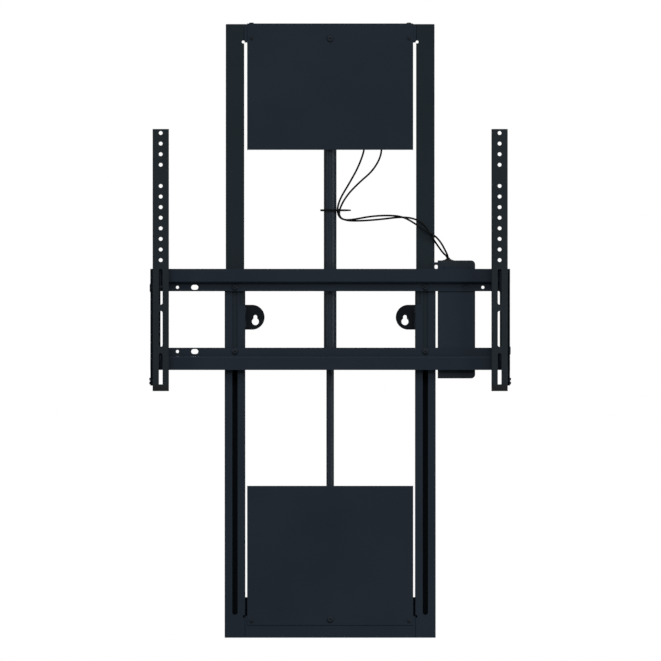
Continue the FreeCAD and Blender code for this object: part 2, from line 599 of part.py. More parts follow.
# Keyhole brackets: an ear on the wall with a keyhole, and a flange welded to the rail.
for word, side in SIDES:
    name = "keyhole_bracket_" + word
    across = slab(name + "_across", ("ear_centre", RAIL_INSIDE), ("0", "ear_sheet"),
                  ("ear_height - ear_radius", "ear_height + ear_radius"), side)
    end = bar(name + "_end", OUT, "ear_centre", "0", "ear_height", "ear_radius", "ear_sheet", side)
    along = slab(name + "_along", (RAIL_INSIDE + " - ear_sheet", RAIL_INSIDE), ("0", "ear_flange_depth"),
                 ("ear_height - ear_radius", "ear_height + ear_radius"), side)
    hole = bar(name + "_hole", OUT, "keyhole_centre", "-1", "keyhole_height", "keyhole_radius",
               "ear_sheet + 2", side)
    neck = slab(name + "_neck", ("keyhole_centre - keyhole_neck / 2", "keyhole_centre + keyhole_neck / 2"),
                ("-1", "ear_sheet + 1"), ("keyhole_height", "keyhole_height + keyhole_rise"), side)
    neck_end = bar(name + "_neck_end", OUT, "keyhole_centre", "-1", "keyhole_height + keyhole_rise",
                   "keyhole_neck / 2", "ear_sheet + 2", side)
    beyond = slab(name + "_beyond", (RAIL_INSIDE, RAIL_INSIDE + " + ear_radius"), ("-1", "ear_sheet + 1"),
                  ("ear_height - ear_radius", "ear_height + ear_radius"), side)
    node(name, cut(name, joined(name + "_folded", across, end, along), beyond, hole, neck, neck_end))


def cover(name, back, low, high, flange_low, flange_high, extra, holes):
    """A sheet panel whose two sides are folded back towards the wall."""
    half = "(cover_width / 2)"
    front = slab(name + "_front", ("-" + half, half), (back, "(%s) + cover_sheet" % back), (low, high))
    parts = [front] + extra
    for word, side in SIDES:
        parts.append(slab(name + "_side_" + word, (half + " - cover_sheet", half), ("cover_back", back),
                          (flange_low, flange_high), side))
    bent = rounded(name + "_bent", joined(name + "_folded", *parts), size("cover_bend"), vertical_front)
    return cut(name, bent, *holes)


# Lower cover: hides the rod's anchor and takes in the tube as the lift comes down.
LOWER_FACE = "(outer_rail_depth + cover_sheet)"
holes = [bar("lower_cover_bolt_hole", OUT, "0", "outer_rail_depth - 1", "anchor_bolt_height",
             "anchor_bolt_shank + screw_play", "cover_sheet + 2")]
for word, side in SIDES:
    holes.append(bar("lower_cover_hole_" + word, OUT, "cover_screw_x", "outer_rail_depth - 1",
                     "lower_screw_height", "cover_screw_shank + screw_play", "cover_sheet + 2", side))
node("lower_cover", cover("lower_cover", "outer_rail_depth", "lower_cover_bottom", "lower_cover_top",
                          "front_plate_top + flange_gap", "lower_cover_top", [], holes))
screws = [cover_screw("lower_screw_" + word, OUT, "cover_screw_x", LOWER_FACE, "lower_screw_height", side)
          for word, side in SIDES]
node("lower_cover_screws", group("lower_cover_screws", *screws))

# Rod anchor: a bolted fork and a pin hold the lower end of the actuator rod.
ANCHOR_BACK = "(outer_rail_depth - frame_sheet)"
node("rod_anchor_bolt", anchor_bolt("rod_anchor_bolt", LOWER_FACE, ANCHOR_BACK + " - bracket_sheet",
                                    "anchor_bolt_height"))
node("rod_anchor_bracket",
     fork_bracket("rod_anchor_bracket", ANCHOR_BACK, ("frame_sheet", "front_plate_top"),
                  ("frame_sheet", "anchor_ear_top"), "anchor_pin_height", "anchor_bolt_height"))
node("rod_anchor_pin", fork_pin("rod_anchor_pin", "anchor_pin_height"))

# Actuator rod: a tube with a solid foot, standing on the anchor pin, with a nut on top.
rod = bar("rod_blank", UP, "0", "actuator_depth", "rod_bottom", "rod_radius", "rod_top - rod_bottom")
rod_bore = bar("rod_bore_tool", UP, "0", "actuator_depth", "rod_bore_bottom", "rod_bore",
               "rod_top - rod_bore_bottom + 1")
rod_eye = bar("rod_eye_tool", RIGHT, "-2 * rod_radius", "actuator_depth", "anchor_pin_height",
              "pin_radius + running_play", "4 * rod_radius")
node("actuator_rod", cut("actuator_rod", rod, rod_bore, rod_eye))
NUT_BOTTOM = "(tube_bottom + bush_spigot + bracket_play)"
nut_blank = bar("rod_nut_blank", UP, "0", "actuator_depth", NUT_BOTTOM, "nut_radius", "nut_rise")
nut_seat = bar("rod_nut_seat", UP, "0", "actuator_depth", NUT_BOTTOM + " - 1", "rod_radius",
               "rod_top - %s + 1" % NUT_BOTTOM)
nut_thread = bar("rod_nut_thread", UP, "0", "actuator_depth", NUT_BOTTOM, "screw_radius + running_play",
                 "nut_rise + 1")
node("rod_nut", cut("rod_nut", nut_blank, nut_seat, nut_thread))

# Sliding rails: folded channels, open towards the wall, inside the fixed rails.
for word, side in SIDES:
    name = "inner_rail_" + word
    inside = "(%s - frame_sheet)" % SLIDE_HALF
    section = [
        ("-" + SLIDE_HALF, "-" + SLIDE_BACK), ("-" + SLIDE_HALF, "-" + SLIDE_FRONT),
        (SLIDE_HALF, "-" + SLIDE_FRONT), (SLIDE_HALF, "-" + SLIDE_BACK),
        (inside, "-" + SLIDE_BACK), (inside, "-(%s - frame_sheet)" % SLIDE_FRONT),
        ("-" + inside, "-(%s - frame_sheet)" % SLIDE_FRONT), ("-" + inside, "-" + SLIDE_BACK),
    ]
    channel = folded(name + "_channel", "XY_Plane", section,
                     "upper_frame_top - frame_sheet - inner_rail_bottom",
                     ("" if side > 0 else "-") + RAIL_X, "0", "inner_rail_bottom")
    bent = rounded(name + "_bent", channel, size("bend_radius"), vertical_front)
    tools = [
        slab(name + "_open_side", (SLIDE_INSIDE + " - 1", SLIDE_INSIDE + " + frame_sheet"),
             ("0", SLIDE_FRONT + " - 2 * frame_sheet"), ("top_plate_bottom", "upper_frame_top"), side),
        bar(name + "_relief", OUT, SLIDE_INSIDE + " + relief_inset", "0",
            "top_plate_bottom + relief_rise", "relief_radius", "outer_rail_depth", side),
    ]
    for row in ("upper_row", "lower_row"):
        tools.append(bar("%s_%s" % (name, row), OUT, RAIL_X, SLIDE_FRONT + " - 2 * frame_sheet", row,
                         "bar_bolt_radius + screw_play", "3 * frame_sheet", side))
    node(name, cut(name, bent, *tools))

# Glide shoes: a plastic foot that runs in the fixed rail, plugged into the sliding rail.
for word, side in SIDES:
    name = "glide_shoe_" + word
    foot_half = "(outer_rail_width / 2 - frame_sheet - shoe_play)"
    plug_half = "(%s - frame_sheet - plug_play)" % SLIDE_HALF
    foot = slab(name + "_foot", (RAIL_X + " - " + foot_half, RAIL_X + " + " + foot_half),
                ("frame_sheet + shoe_play", "outer_rail_depth - frame_sheet - shoe_play"),
                ("inner_rail_bottom - shoe_foot", "inner_rail_bottom"), side)
    plug = slab(name + "_plug", (RAIL_X + " - " + plug_half, RAIL_X + " + " + plug_half),
                (SLIDE_BACK + " + frame_sheet", SLIDE_FRONT + " - frame_sheet - plug_play"),
                ("inner_rail_bottom", "inner_rail_bottom + shoe_plug"), side)
    node(name, joined(name, foot, plug))

# Top plate: joins the sliding rails, with a flange over both rail ends.
web = slab("top_plate_web", ("-" + SLIDE_INSIDE, SLIDE_INSIDE), (SLIDE_FRONT + " - frame_sheet", SLIDE_FRONT),
           ("top_plate_bottom", "upper_frame_top"))
flange = slab("top_plate_flange", ("-" + SLIDE_OUTSIDE, SLIDE_OUTSIDE), (SLIDE_BACK, SLIDE_FRONT),
              ("upper_frame_top - frame_sheet", "upper_frame_top"))
tools = [bar("top_plate_bolt_hole", OUT, "0", "cover_back", "hanger_bolt_height",
             "anchor_bolt_shank + screw_play", "outer_rail_depth")]
for word, side in SIDES:
    tools.append(bar("top_plate_screw_hole_" + word, OUT, "cover_screw_x", "cover_back",
                     "upper_screw_height", "cover_screw_shank + screw_play", "outer_rail_depth", side))
    tools.append(bar("top_plate_top_hole_" + word, UP, "cover_screw_x", "top_screw_depth",
                     "upper_frame_top - 2 * frame_sheet", "cover_screw_shank + screw_play",
                     "3 * frame_sheet", side))
    tools.append(bar("top_plate_relief_" + word, OUT, SLIDE_INSIDE + " + relief_inset", "0",
                     "top_plate_bottom + relief_rise", "relief_radius", "outer_rail_depth", side))


def upper_corner(edge, box):
    """The two upper end edges, along the depth."""
    ends = edge.BoundBox
    at_end = min(abs(ends.XMin - box.XMin), abs(ends.XMax - box.XMax)) < CLOSE
    return runs_along(edge, "y") and at_end and abs(ends.ZMax - box.ZMax) < CLOSE


top_plate = rounded("top_plate_rounded", joined("top_plate_folded", web, flange),
                    size("corner_chamfer"), upper_corner)
node("top_plate", cut("top_plate", top_plate, *tools))

# Upper cover: hides the gear motor, folded over the top of the frame and screwed on.
TOP_FACE = "(%s + cover_sheet)" % SLIDE_FRONT
over = slab("top_cover_over", ("-cover_width / 2", "cover_width / 2"), ("cover_back", SLIDE_FRONT),
            ("upper_frame_top", "upper_frame_top + cover_sheet"))
holes = [bar("top_cover_bolt_hole", OUT, "0", SLIDE_FRONT + " - 1", "hanger_bolt_height",
             "anchor_bolt_shank + screw_play", "cover_sheet + 2")]
for word, side in SIDES:
    holes.append(bar("top_cover_hole_" + word, OUT, "cover_screw_x", SLIDE_FRONT + " - 1",
                     "upper_screw_height", "cover_screw_shank + screw_play", "cover_sheet + 2", side))
    holes.append(bar("top_cover_top_hole_" + word, UP, "cover_screw_x", "top_screw_depth",
                     "upper_frame_top - 1", "cover_screw_shank + screw_play", "cover_sheet + 2", side))
node("top_cover", cover("top_cover", SLIDE_FRONT, "top_cover_bottom", "upper_frame_top + cover_sheet",
                        "top_cover_bottom", "top_plate_bottom - flange_gap", [over], holes))
screws = []
for word, side in SIDES:
    screws.append(cover_screw("top_screw_front_" + word, OUT, "cover_screw_x", TOP_FACE,
                              "upper_screw_height", side))
    screws.append(cover_screw("top_screw_over_" + word, UP, "cover_screw_x", "top_screw_depth",
                              "upper_frame_top + cover_sheet", side, "top_screw_head"))
node("top_cover_screws", group("top_cover_screws", *screws))

# Motor hanger: a bolted fork behind the top plate, and its pin.
HANGER_BACK = "(%s - frame_sheet)" % SLIDE_FRONT
node("hanger_bolt", anchor_bolt("hanger_bolt", TOP_FACE, HANGER_BACK + " - bracket_sheet",
                                "hanger_bolt_height"))
node("motor_hanger",
     fork_bracket("motor_hanger", HANGER_BACK, ("top_plate_bottom", "upper_frame_top - frame_sheet"),
                  ("hanger_pin_height - hanger_ear_rise", "hanger_pin_height + hanger_ear_rise"),
                  "hanger_pin_height", "hanger_bolt_height"))
node("hanger_pin", fork_pin("hanger_pin", "hanger_pin_height"))

# Actuator tube and its wiper bush, which the rod slides through.
tube = bar("tube_blank", UP, "0", "actuator_depth", "tube_bottom", "tube_radius", "tube_top - tube_bottom")
tube_bore = bar("tube_bore", UP, "0", "actuator_depth", "tube_bottom - 1", "tube_radius - tube_wall",
                "tube_top - tube_bottom + 2")
node("actuator_tube", cut("actuator_tube", tube, tube_bore))
bush_flange = bar("bush_flange_blank", UP, "0", "actuator_depth", "tube_bottom - bush_flange", "tube_radius",
                  "bush_flange")
bush_spigot = bar("bush_spigot_blank", UP, "0", "actuator_depth", "tube_bottom",
                  "tube_radius - tube_wall - running_play", "bush_spigot")
bush_bore = bar("bush_bore", UP, "0", "actuator_depth", "tube_bottom - bush_flange - 1",
                "rod_radius + slide_play", "bush_flange + bush_spigot + 2")
node("tube_end_bush", cut("tube_end_bush", joined("bush_blank", bush_flange, bush_spigot), bush_bore))

# Bearing housing: caps the tube, holds the bearing and leaves room for the coupling.
BEARING_BOTTOM = "(tube_top + housing_floor)"
COUPLING_BOTTOM = "(%s + bearing_rise + coupling_gap)" % BEARING_BOTTOM
HOUSING_TOP = "(%s + coupling_rise + coupling_gap)" % COUPLING_BOTTOM
housing = bar("housing_blank", UP, "0", "actuator_depth", "tube_top - housing_skirt", "housing_radius",
              "%s - tube_top + housing_skirt" % HOUSING_TOP)
housing_tube = bar("housing_tube_seat", UP, "0", "actuator_depth", "tube_top - housing_skirt - 1",
                   "tube_radius", "housing_skirt + 1")
housing_pass = bar("housing_pass", UP, "0", "actuator_depth", "tube_top - 1", "screw_radius + 1",
                   "housing_floor + 2")
housing_bore = bar("housing_bore", UP, "0", "actuator_depth", BEARING_BOTTOM, "bearing_radius",
                   "%s - %s + 1" % (HOUSING_TOP, BEARING_BOTTOM))
node("bearing_housing", cut("bearing_housing", housing, housing_tube, housing_pass, housing_bore))
bearing = bar("bearing_blank", UP, "0", "actuator_depth", BEARING_BOTTOM, "bearing_radius", "bearing_rise")
bearing_bore = bar("bearing_bore", UP, "0", "actuator_depth", BEARING_BOTTOM + " - 1",
                   "screw_radius + running_play", "bearing_rise + 2")
node("screw_bearing", cut("screw_bearing", bearing, bearing_bore))

# Lead screw, shaft coupling and gearbox shaft: they turn together inside the tube.
SCREW_TOP = "(%s + coupling_rise / 2)" % COUPLING_BOTTOM
node("lead_screw", bar("lead_screw", UP, "0", "actuator_depth", "screw_bottom", "screw_radius",
                       "%s - screw_bottom" % SCREW_TOP))
coupling = bar("coupling_blank", UP, "0", "actuator_depth", COUPLING_BOTTOM, "coupling_radius",
               "coupling_rise")
coupling_low = bar("coupling_low", UP, "0", "actuator_depth", COUPLING_BOTTOM + " - 1", "screw_radius",
                   "coupling_rise / 2 + 1")
coupling_high = bar("coupling_high", UP, "0", "actuator_depth", SCREW_TOP, "shaft_radius",
                    "coupling_rise / 2 + 1")
node("shaft_coupling", cut("shaft_coupling", coupling, coupling_low, coupling_high))
SHAFT_TOP = "(%s + gearbox_rise / 2)" % HOUSING_TOP
node("gearbox_shaft", bar("gearbox_shaft", UP, "0", "actuator_depth", SCREW_TOP, "shaft_radius",
                          "%s - %s" % (SHAFT_TOP, SCREW_TOP)))

# Gear motor: a gearbox on the bearing housing, the motor above it, and a hanging tongue.
gearbox = bar("gearbox_blank", UP, "0", "actuator_depth", HOUSING_TOP, "gearbox_radius", "gearbox_rise")
gearbox_bore = bar("gearbox_bore", UP, "0", "actuator_depth", HOUSING_TOP + " - 1",
                   "shaft_radius + running_play", "gearbox_rise / 2 + 1 + bracket_play")
node("gearbox", cut("gearbox", gearbox, gearbox_bore))
MOTOR_BOTTOM = "(%s + gearbox_rise)" % HOUSING_TOP
MOTOR_TOP = "(%s + motor_rise)" % MOTOR_BOTTOM
motor = bar("motor_blank", UP, "0", "actuator_depth", MOTOR_BOTTOM, "motor_radius", "motor_rise")
tongue = slab("motor_tongue", ("-tongue_half", "tongue_half"),
              ("actuator_depth - tongue_half", "actuator_depth + tongue_half"),
              (MOTOR_TOP, "hanger_pin_height"))
tongue_end = bar("motor_tongue_end", RIGHT, "-tongue_half", "actuator_depth", "hanger_pin_height",
                 "tongue_half", "2 * tongue_half")
tongue_hole = bar("motor_tongue_hole", RIGHT, "-2 * tongue_half", "actuator_depth", "hanger_pin_height",
                  "pin_radius + running_play", "4 * tongue_half")
node("lift_motor", cut("lift_motor", joined("motor_body", motor, tongue, tongue_end), tongue_hole))

# Cable terminal: a plastic block on the side of the gearbox, where both cables start.
terminal = slab("terminal_blank", ("tube_radius", "terminal_reach"),
                ("actuator_depth - terminal_half", "actuator_depth + terminal_half"),
                ("terminal_height", "terminal_height + terminal_rise"))
terminal_seat = bar("terminal_seat", UP, "0", "actuator_depth", "terminal_height - 1", "gearbox_radius",
                    "terminal_rise + 2")
node("motor_terminal", cut("motor_terminal", terminal, terminal_seat))


def step_fold(edge, box):
    """The outer edges of the two folds of a crossbar."""
    ends = edge.BoundBox
    at_face = min(abs(ends.YMin - box.YMin), abs(ends.YMax - box.YMax)) < CLOSE
    inside = ends.ZMin - box.ZMin > CLOSE and box.ZMax - ends.ZMax > CLOSE
    return runs_along(edge, "x") and at_face and inside


def crossbar(name, free, step_far, step_near, bolted, row, drilled):
    """A stepped bar: one flange bolted to the rails, the other free, out in front.

    The ends that are drilled have a round and a long hole beside the bolt's.
    """
    back, front = "-crossbar_back", "-crossbar_front"
    inner_back = "-(crossbar_back + crossbar_sheet)"
    inner_front = "-(crossbar_front - crossbar_sheet)"
    section = [
        (back, bolted), (inner_back, bolted), (inner_back, step_far), (front, step_far),
        (front, free), (inner_front, free), (inner_front, step_near), (back, step_near),
    ]
    raised = [(y, height + " - wall_plate_height / 2") for y, height in section]
    blank = folded(name + "_section", "YZ_Plane", raised, "2 * crossbar_half_length",
                   "-crossbar_half_length")
    bent = rounded(name + "_bent", blank, size("bar_bend"), step_fold)
    deep, start = "crossbar_sheet + 2", "crossbar_back - 1"
    half = "(bar_slot_length / 2 - bar_slot_width / 2)"
    tools = []
    for word, side in SIDES:
        label = name + "_" + word
        tools.append(bar(label + "_bolt", OUT, RAIL_X, start, row, "bar_bolt_radius + screw_play",
                         deep, side))
        if word not in drilled:
            continue
        tools.append(bar(label + "_hole", OUT, "bar_hole_x", start, row, "bar_hole_radius", deep, side))
        middle = slab(label + "_slot", ("bar_slot_x - " + half, "bar_slot_x + " + half),
                      (start, "crossbar_back + crossbar_sheet + 1"),
                      (row + " - bar_slot_width / 2", row + " + bar_slot_width / 2"), side)
        tools.append(middle)
        for sign in "+-":
            tools.append(bar(label + "_slot_end", OUT, "bar_slot_x %s %s" % (sign, half), start, row,
                             "bar_slot_width / 2", deep, side))
    return cut(name, bent, *tools)


# Crossbars: stepped steel bars that carry the television arms, bolted to the sliding rails.
node("upper_crossbar", crossbar("upper_crossbar", "upper_bar_top", "upper_bar_step",
                                "upper_bar_step + crossbar_sheet", "upper_bar_bottom", "upper_row",
                                ("left", "right")))
node("lower_crossbar", crossbar("lower_crossbar", "lower_bar_bottom", "lower_bar_step",
                                "lower_bar_step - crossbar_sheet", "lower_bar_top", "lower_row",
                                ("left",)))

# Crossbar fixings: a bolt, a spacer through the guide slot and a nut at each crossing.
bolts, spacers, rings = [], [], []
for word, side in SIDES:
    for row in ("upper_row", "lower_row"):
        name = "bar_%s_%s" % (row, word)
        bar_face = "(crossbar_back + crossbar_sheet)"
        nut_start = "(%s - frame_sheet - anchor_nut_rise)" % SLIDE_FRONT
        head = bar(name + "_head", OUT, RAIL_X, bar_face, row, "bar_bolt_head", "bar_bolt_rise", side)
        dome = rounded(name + "_dome", head, 0.6 * size("bar_bolt_rise"), outer_ring)
        shank = bar(name + "_shank", OUT, RAIL_X, nut_start, row, "bar_bolt_radius",
                    "%s - %s" % (bar_face, nut_start), side)
        bolts.append(joined(name + "_bolt", dome, shank))
        sleeve = bar(name + "_sleeve", OUT, RAIL_X, SLIDE_FRONT, row, "spacer_radius",
                     "crossbar_back - %s" % SLIDE_FRONT, side)
        ring = nut(name + "_ring", OUT, RAIL_X, nut_start, row, "anchor_nut_across",
                   "anchor_nut_rise", side)
        bore = bar(name + "_bore", OUT, RAIL_X, nut_start + " - 1", row, "bar_bolt_radius",
                   "crossbar_back - %s + 2" % nut_start, side)
        spacers.append(cut(name + "_spacer", sleeve, bore))
        rings.append(cut(name + "_nut", ring, bore))
node("crossbar_bolts", group("crossbar_bolts", *bolts))
node("crossbar_spacers", group("crossbar_spacers", *spacers))
node("crossbar_nuts", group("crossbar_nuts", *rings))

# Control box plate: welded behind both crossbars, with a hanging tab beside the rail.
BOX_FRONT = "(crossbar_back - plate_sheet)"
PLATE_DEPTH = (BOX_FRONT, "crossbar_back")
plate = slab("box_plate_blank", ("box_left + plate_inset", "box_right - plate_inset"), PLATE_DEPTH,
             ("plate_bottom", "plate_top"))
tab = slab("box_plate_tab", ("tab_left", "tab_right"), PLATE_DEPTH, ("tab_bottom", "tab_top"))
tab_hole = bar("box_plate_tab_hole", OUT, "tab_hole_x", BOX_FRONT + " - 1", "tab_hole_height",
               "tab_hole_radius", "plate_sheet + 2")
PLATE_SCREWS = [(x, height) for x in ("(box_left + boss_inset)", "(box_right - boss_inset)")
                for height in ("(plate_bottom + boss_inset / 2)", "(plate_top - boss_inset / 2)")]
screw_holes = [bar("plate_screw_hole", OUT, x, BOX_FRONT + " - box_wall - 1", height,
                   "cover_screw_shank + screw_play", "box_wall + plate_sheet + 2")
               for x, height in PLATE_SCREWS]
node("control_box_plate", cut("control_box_plate", joined("box_plate_whole", plate, tab), tab_hole,
                              *screw_holes))


def outer_corner(edge, box):
    """Edges along the depth, on the side away from the rail."""
    return runs_along(edge, "y") and abs(edge.BoundBox.XMax - box.XMax) < CLOSE


# Control box shell: a moulded tray, open towards the wall, with bosses for the board.
LID_FRONT = "(box_back + lid_sheet)"
BOX_INSIDE = "(%s - box_wall)" % BOX_FRONT
shell = rounded("shell_rounded",
                slab("shell_blank", ("box_left", "box_right"), (LID_FRONT, BOX_FRONT),
                     ("box_bottom", "box_top")), size("box_corner"), outer_corner)
hollow = rounded("hollow_rounded",
                 slab("hollow_blank", ("box_left + box_wall", "box_right - box_wall"),
                      (LID_FRONT + " - 1", BOX_INSIDE), ("box_bottom + box_wall", "box_top - box_wall")),
                 size("box_corner") - size("box_wall"), outer_corner)
BOARD_FRONT = "(%s - boss_rise)" % BOX_INSIDE
bosses = [bar("board_boss", OUT, x, BOARD_FRONT, height, "boss_radius", "boss_rise + box_wall / 2")
          for x in ("(box_left + boss_inset)", "(box_right - boss_inset)")
          for height in ("(board_bottom + boss_inset / 2)", "(board_top - boss_inset / 2)")]
INLET_X = ("inlet_x - inlet_length / 2", "inlet_x + inlet_length / 2")
INLET_DEPTH = ("inlet_axis - inlet_depth / 2", "inlet_axis + inlet_depth / 2")
inlet_hole = slab("shell_inlet_hole", INLET_X, INLET_DEPTH, ("box_bottom - 1", "box_bottom + box_wall + 1"))
gland_hole = bar("shell_gland_hole", UP, "gland_x", "gland_depth", "box_top - box_wall - 1", "gland_neck",
                 "box_wall + 2")
tray = joined("shell_tray", cut("shell_hollow", shell, hollow), *bosses)
node("control_box_shell", cut("control_box_shell", tray, inlet_hole, gland_hole, *screw_holes))
lid = rounded("lid_rounded",
              slab("lid_blank", ("box_left + lid_inset", "box_right - lid_inset"), ("box_back", LID_FRONT),
                   ("box_bottom + lid_inset", "box_top - lid_inset")),
              size("box_corner") - size("lid_inset"), outer_corner)
node("control_box_lid", lid)

screws = []
for number, (x, height) in enumerate(PLATE_SCREWS):
    name = "box_screw_%d" % number
    head = bar(name + "_head", OUT, x, BOX_INSIDE + " - cover_screw_rise", height, "cover_screw_head",
               "cover_screw_rise")
    shank = bar(name + "_shank", OUT, x, BOX_INSIDE, height, "cover_screw_shank", "box_wall + plate_sheet")
    screws.append(joined(name, head, shank))
node("control_box_screws", group("control_box_screws", *screws))

# Circuit board and power supply, on the bosses inside the box.
BOARD_X = ("box_left + box_wall + board_inset", "box_right - box_wall - board_inset")
BOARD_BACK = "(%s - board_sheet)" % BOARD_FRONT
node("circuit_board", slab("circuit_board", BOARD_X, (BOARD_BACK, BOARD_FRONT),
                           ("board_bottom", "board_top")))
middle = "((board_bottom + board_top) / 2)"
node("power_supply", slab("power_supply", ("box_left + 2 * boss_inset", "box_right - boss_inset"),
                          (BOARD_BACK + " - supply_rise", BOARD_BACK),
                          (middle + " - 2 * supply_rise", middle + " + 2 * supply_rise")))

# Mains inlet: a socket in the underside of the box, with two contact pins.
inlet = slab("inlet_blank", INLET_X, INLET_DEPTH, ("box_bottom", "box_bottom + inlet_rise"))
inlet_hollow = slab("inlet_hollow", ("inlet_x - inlet_length / 2 + inlet_wall",
                                     "inlet_x + inlet_length / 2 - inlet_wall"),
                    ("inlet_axis - inlet_depth / 2 + inlet_wall", "inlet_axis + inlet_depth / 2 - inlet_wall"),
                    ("box_bottom - 1", "box_bottom + inlet_rise - inlet_wall"))
pins = [bar("inlet_pin", UP, "inlet_x %s inlet_length / 7" % sign, "inlet_axis",
            "box_bottom + inlet_rise / 2", "inlet_wall / 2", "inlet_rise / 2 - inlet_wall / 2")
        for sign in "+-"]
node("mains_inlet", joined("mains_inlet", cut("inlet_open", inlet, inlet_hollow), *pins))

# Cable gland: a rubber cone in the top of the box, where both cables go in.
cone = doc.addObject("Part::Cone", "gland_cone")
bind(cone, "Radius1", "gland_base")
bind(cone, "Radius2", "gland_tip")
bind(cone, "Height", "gland_rise")
place(cone, "gland_x", "gland_depth", "(box_top)")
neck = bar("gland_neck_blank", UP, "gland_x", "gland_depth", "box_top - box_wall", "gland_neck", "box_wall")
node("cable_gland", joined("cable_gland", cone, neck))


def cable(label, route):
    """A round cable along straight runs joined by tangent arcs."""
    foot = size("wall_plate_height") / 2
    corners = [FreeCAD.Vector(x, -d, height - foot) for x, d, height in route]
    edges, radii = [], []
    last = corners[0]
    for k in range(1, len(corners) - 1):
        before, after = corners[k - 1] - corners[k], corners[k + 1] - corners[k]
        half_turn = (math.pi - before.getAngle(after)) / 2
        reach = 0.45 * min(before.Length, after.Length)
        radii.append(reach / math.tan(half_turn))
        before.normalize()
        after.normalize()
        start, end = corners[k] + before * reach, corners[k] + after * reach
        inward = before + after
        inward.normalize()
        middle = corners[k] + inward * (radii[-1] / math.cos(half_turn) - radii[-1])
        edges.append(Part.LineSegment(last, start).toShape())
        edges.append(Part.Arc(start, middle, end).toShape())
        last = end
    edges.append(Part.LineSegment(last, corners[-1]).toShape())
    path = Part.Wire(edges)
    section = Part.Wire([Part.Circle(corners[0], corners[1] - corners[0], size("cable_radius")).toShape()])
    solid = path.makePipeShell([section], True, False)
    full = math.pi * size("cable_radius") ** 2 * path.Length
    print("%s: length %.1f mm, radii %s, volume ratio %.5f"
          % (label, path.Length, " ".join("%.0f" % r for r in radii), solid.Volume / full))
    runs = [(b - a).Length for a, b in zip(corners, corners[1:])]
    print("   runs %s" % " ".join("%.0f" % run for run in runs))
    item = doc.addObject("Part::Feature", label)
    item.Shape = solid
    return item


# Motor cable and sensor cable: from the gearbox terminal, past the tie, to the gland.
node("motor_cable", cable("motor_cable", MOTOR_CABLE_ROUTE))
node("sensor_cable", cable("sensor_cable", SENSOR_CABLE_ROUTE))


def strap_outline(extra):
    """The closed line round two circles of different size, extra outside them."""
    foot = size("wall_plate_height") / 2
    height = size("tie_height") - size("tie_width") / 2 - foot
    big = FreeCAD.Vector(-size("tie_shift"), -size("actuator_depth"), height)
    small = FreeCAD.Vector(size("tie_cable_x"), -size("tie_cable_depth"), height)
    along = small - big
    share = (size("tie_big") - size("tie_small")) / along.Length
    along.normalize()
    across = FreeCAD.Vector(-along.y, along.x, 0)
    ends = []
    for sign in (1, -1):
        normal = along * share + across * (sign * math.sqrt(1 - share ** 2))
        ends.append((big + normal * (size("tie_big") + extra), small + normal * (size("tie_small") + extra)))
    far_left = big - along * (size("tie_big") + extra)
    far_right = small + along * (size("tie_small") + extra)
    edges = [
        Part.Arc(ends[0][0], far_left, ends[1][0]).toShape(),
        Part.LineSegment(ends[1][0], ends[1][1]).toShape(),
        Part.Arc(ends[1][1], far_right, ends[0][1]).toShape(),
        Part.LineSegment(ends[0][1], ends[0][0]).toShape(),
    ]
    return Part.Face(Part.Wire(edges))


# Cable tie: a plastic strap round the tube and both cables, its tail left long.
width = FreeCAD.Vector(0, 0, size("tie_width"))
strap = doc.addObject("Part::Feature", "tie_strap_loop")
strap.Shape = strap_outline(size("tie_strap")).extrude(width).cut(strap_outline(0).extrude(width))
head_front = "(tie_cable_depth + tie_small + tie_width)"
tie_head = slab("tie_head", ("tie_cable_x - 0.6 * tie_width", "tie_cable_x + tie_width"),
                ("tie_cable_depth + tie_small + tie_strap / 2", head_front),
                ("tie_height - 0.75 * tie_width", "tie_height + 0.75 * tie_width"))
tie_tail = slab("tie_tail", ("tie_cable_x + 0.9 * tie_width", "tie_tail_end"),
                (head_front + " - 1.6 * tie_strap", head_front + " - 0.6 * tie_strap"),
                ("tie_height - tie_width / 2", "tie_height + tie_width / 2"))
node("cable_tie", joined("cable_tie", strap, tie_head, tie_tail))

# Hook channels: folded channels that hang on the upper crossbar and carry the arms.
HOOK_BACK = "(crossbar_front + hook_play)"
HOOK_WEB = "(crossbar_front + hook_play + hook_sheet)"
HOOK_TOP = "(upper_bar_top + hook_play + hook_sheet)"
LIP_FRONT = "(crossbar_front - crossbar_sheet - hook_play)"
LIP_BACK = "(crossbar_front - crossbar_sheet - hook_play - hook_sheet)"
WEB_SECTION = [
    (HOOK_BACK, "hook_bottom"), (HOOK_WEB, "hook_bottom"), (HOOK_WEB, HOOK_TOP), (LIP_BACK, HOOK_TOP),
    (LIP_BACK, "upper_bar_top - hook_drop"), (LIP_FRONT, "upper_bar_top - hook_drop"),
    (LIP_FRONT, "upper_bar_top + hook_play"), (HOOK_BACK, "upper_bar_top + hook_play"),
]
FLANGE_SECTION = [
    (HOOK_WEB, "hook_bottom"), ("hook_low_front", "hook_bottom"), ("hook_low_front", "hook_taper_bottom"),
    ("hook_front", "hook_taper_top"), ("hook_front", HOOK_TOP + " - 3 * hook_sheet"),
    ("hook_front - 3 * hook_sheet", HOOK_TOP), (HOOK_WEB, HOOK_TOP),
]


def side_view(section):
    """Turns (d, height) corners into corners of a sketch seen from the side."""
    return [("-(%s)" % d, "%s - wall_plate_height / 2" % height) for d, height in section]


def side_ring(edge, box):
    """The circle on the outermost end of a head that points away from the middle."""
    ends = edge.BoundBox
    outer = box.XMax if abs(box.XMax) > abs(box.XMin) else box.XMin
    return abs(ends.XMin - outer) < CLOSE and abs(ends.XMax - outer) < CLOSE


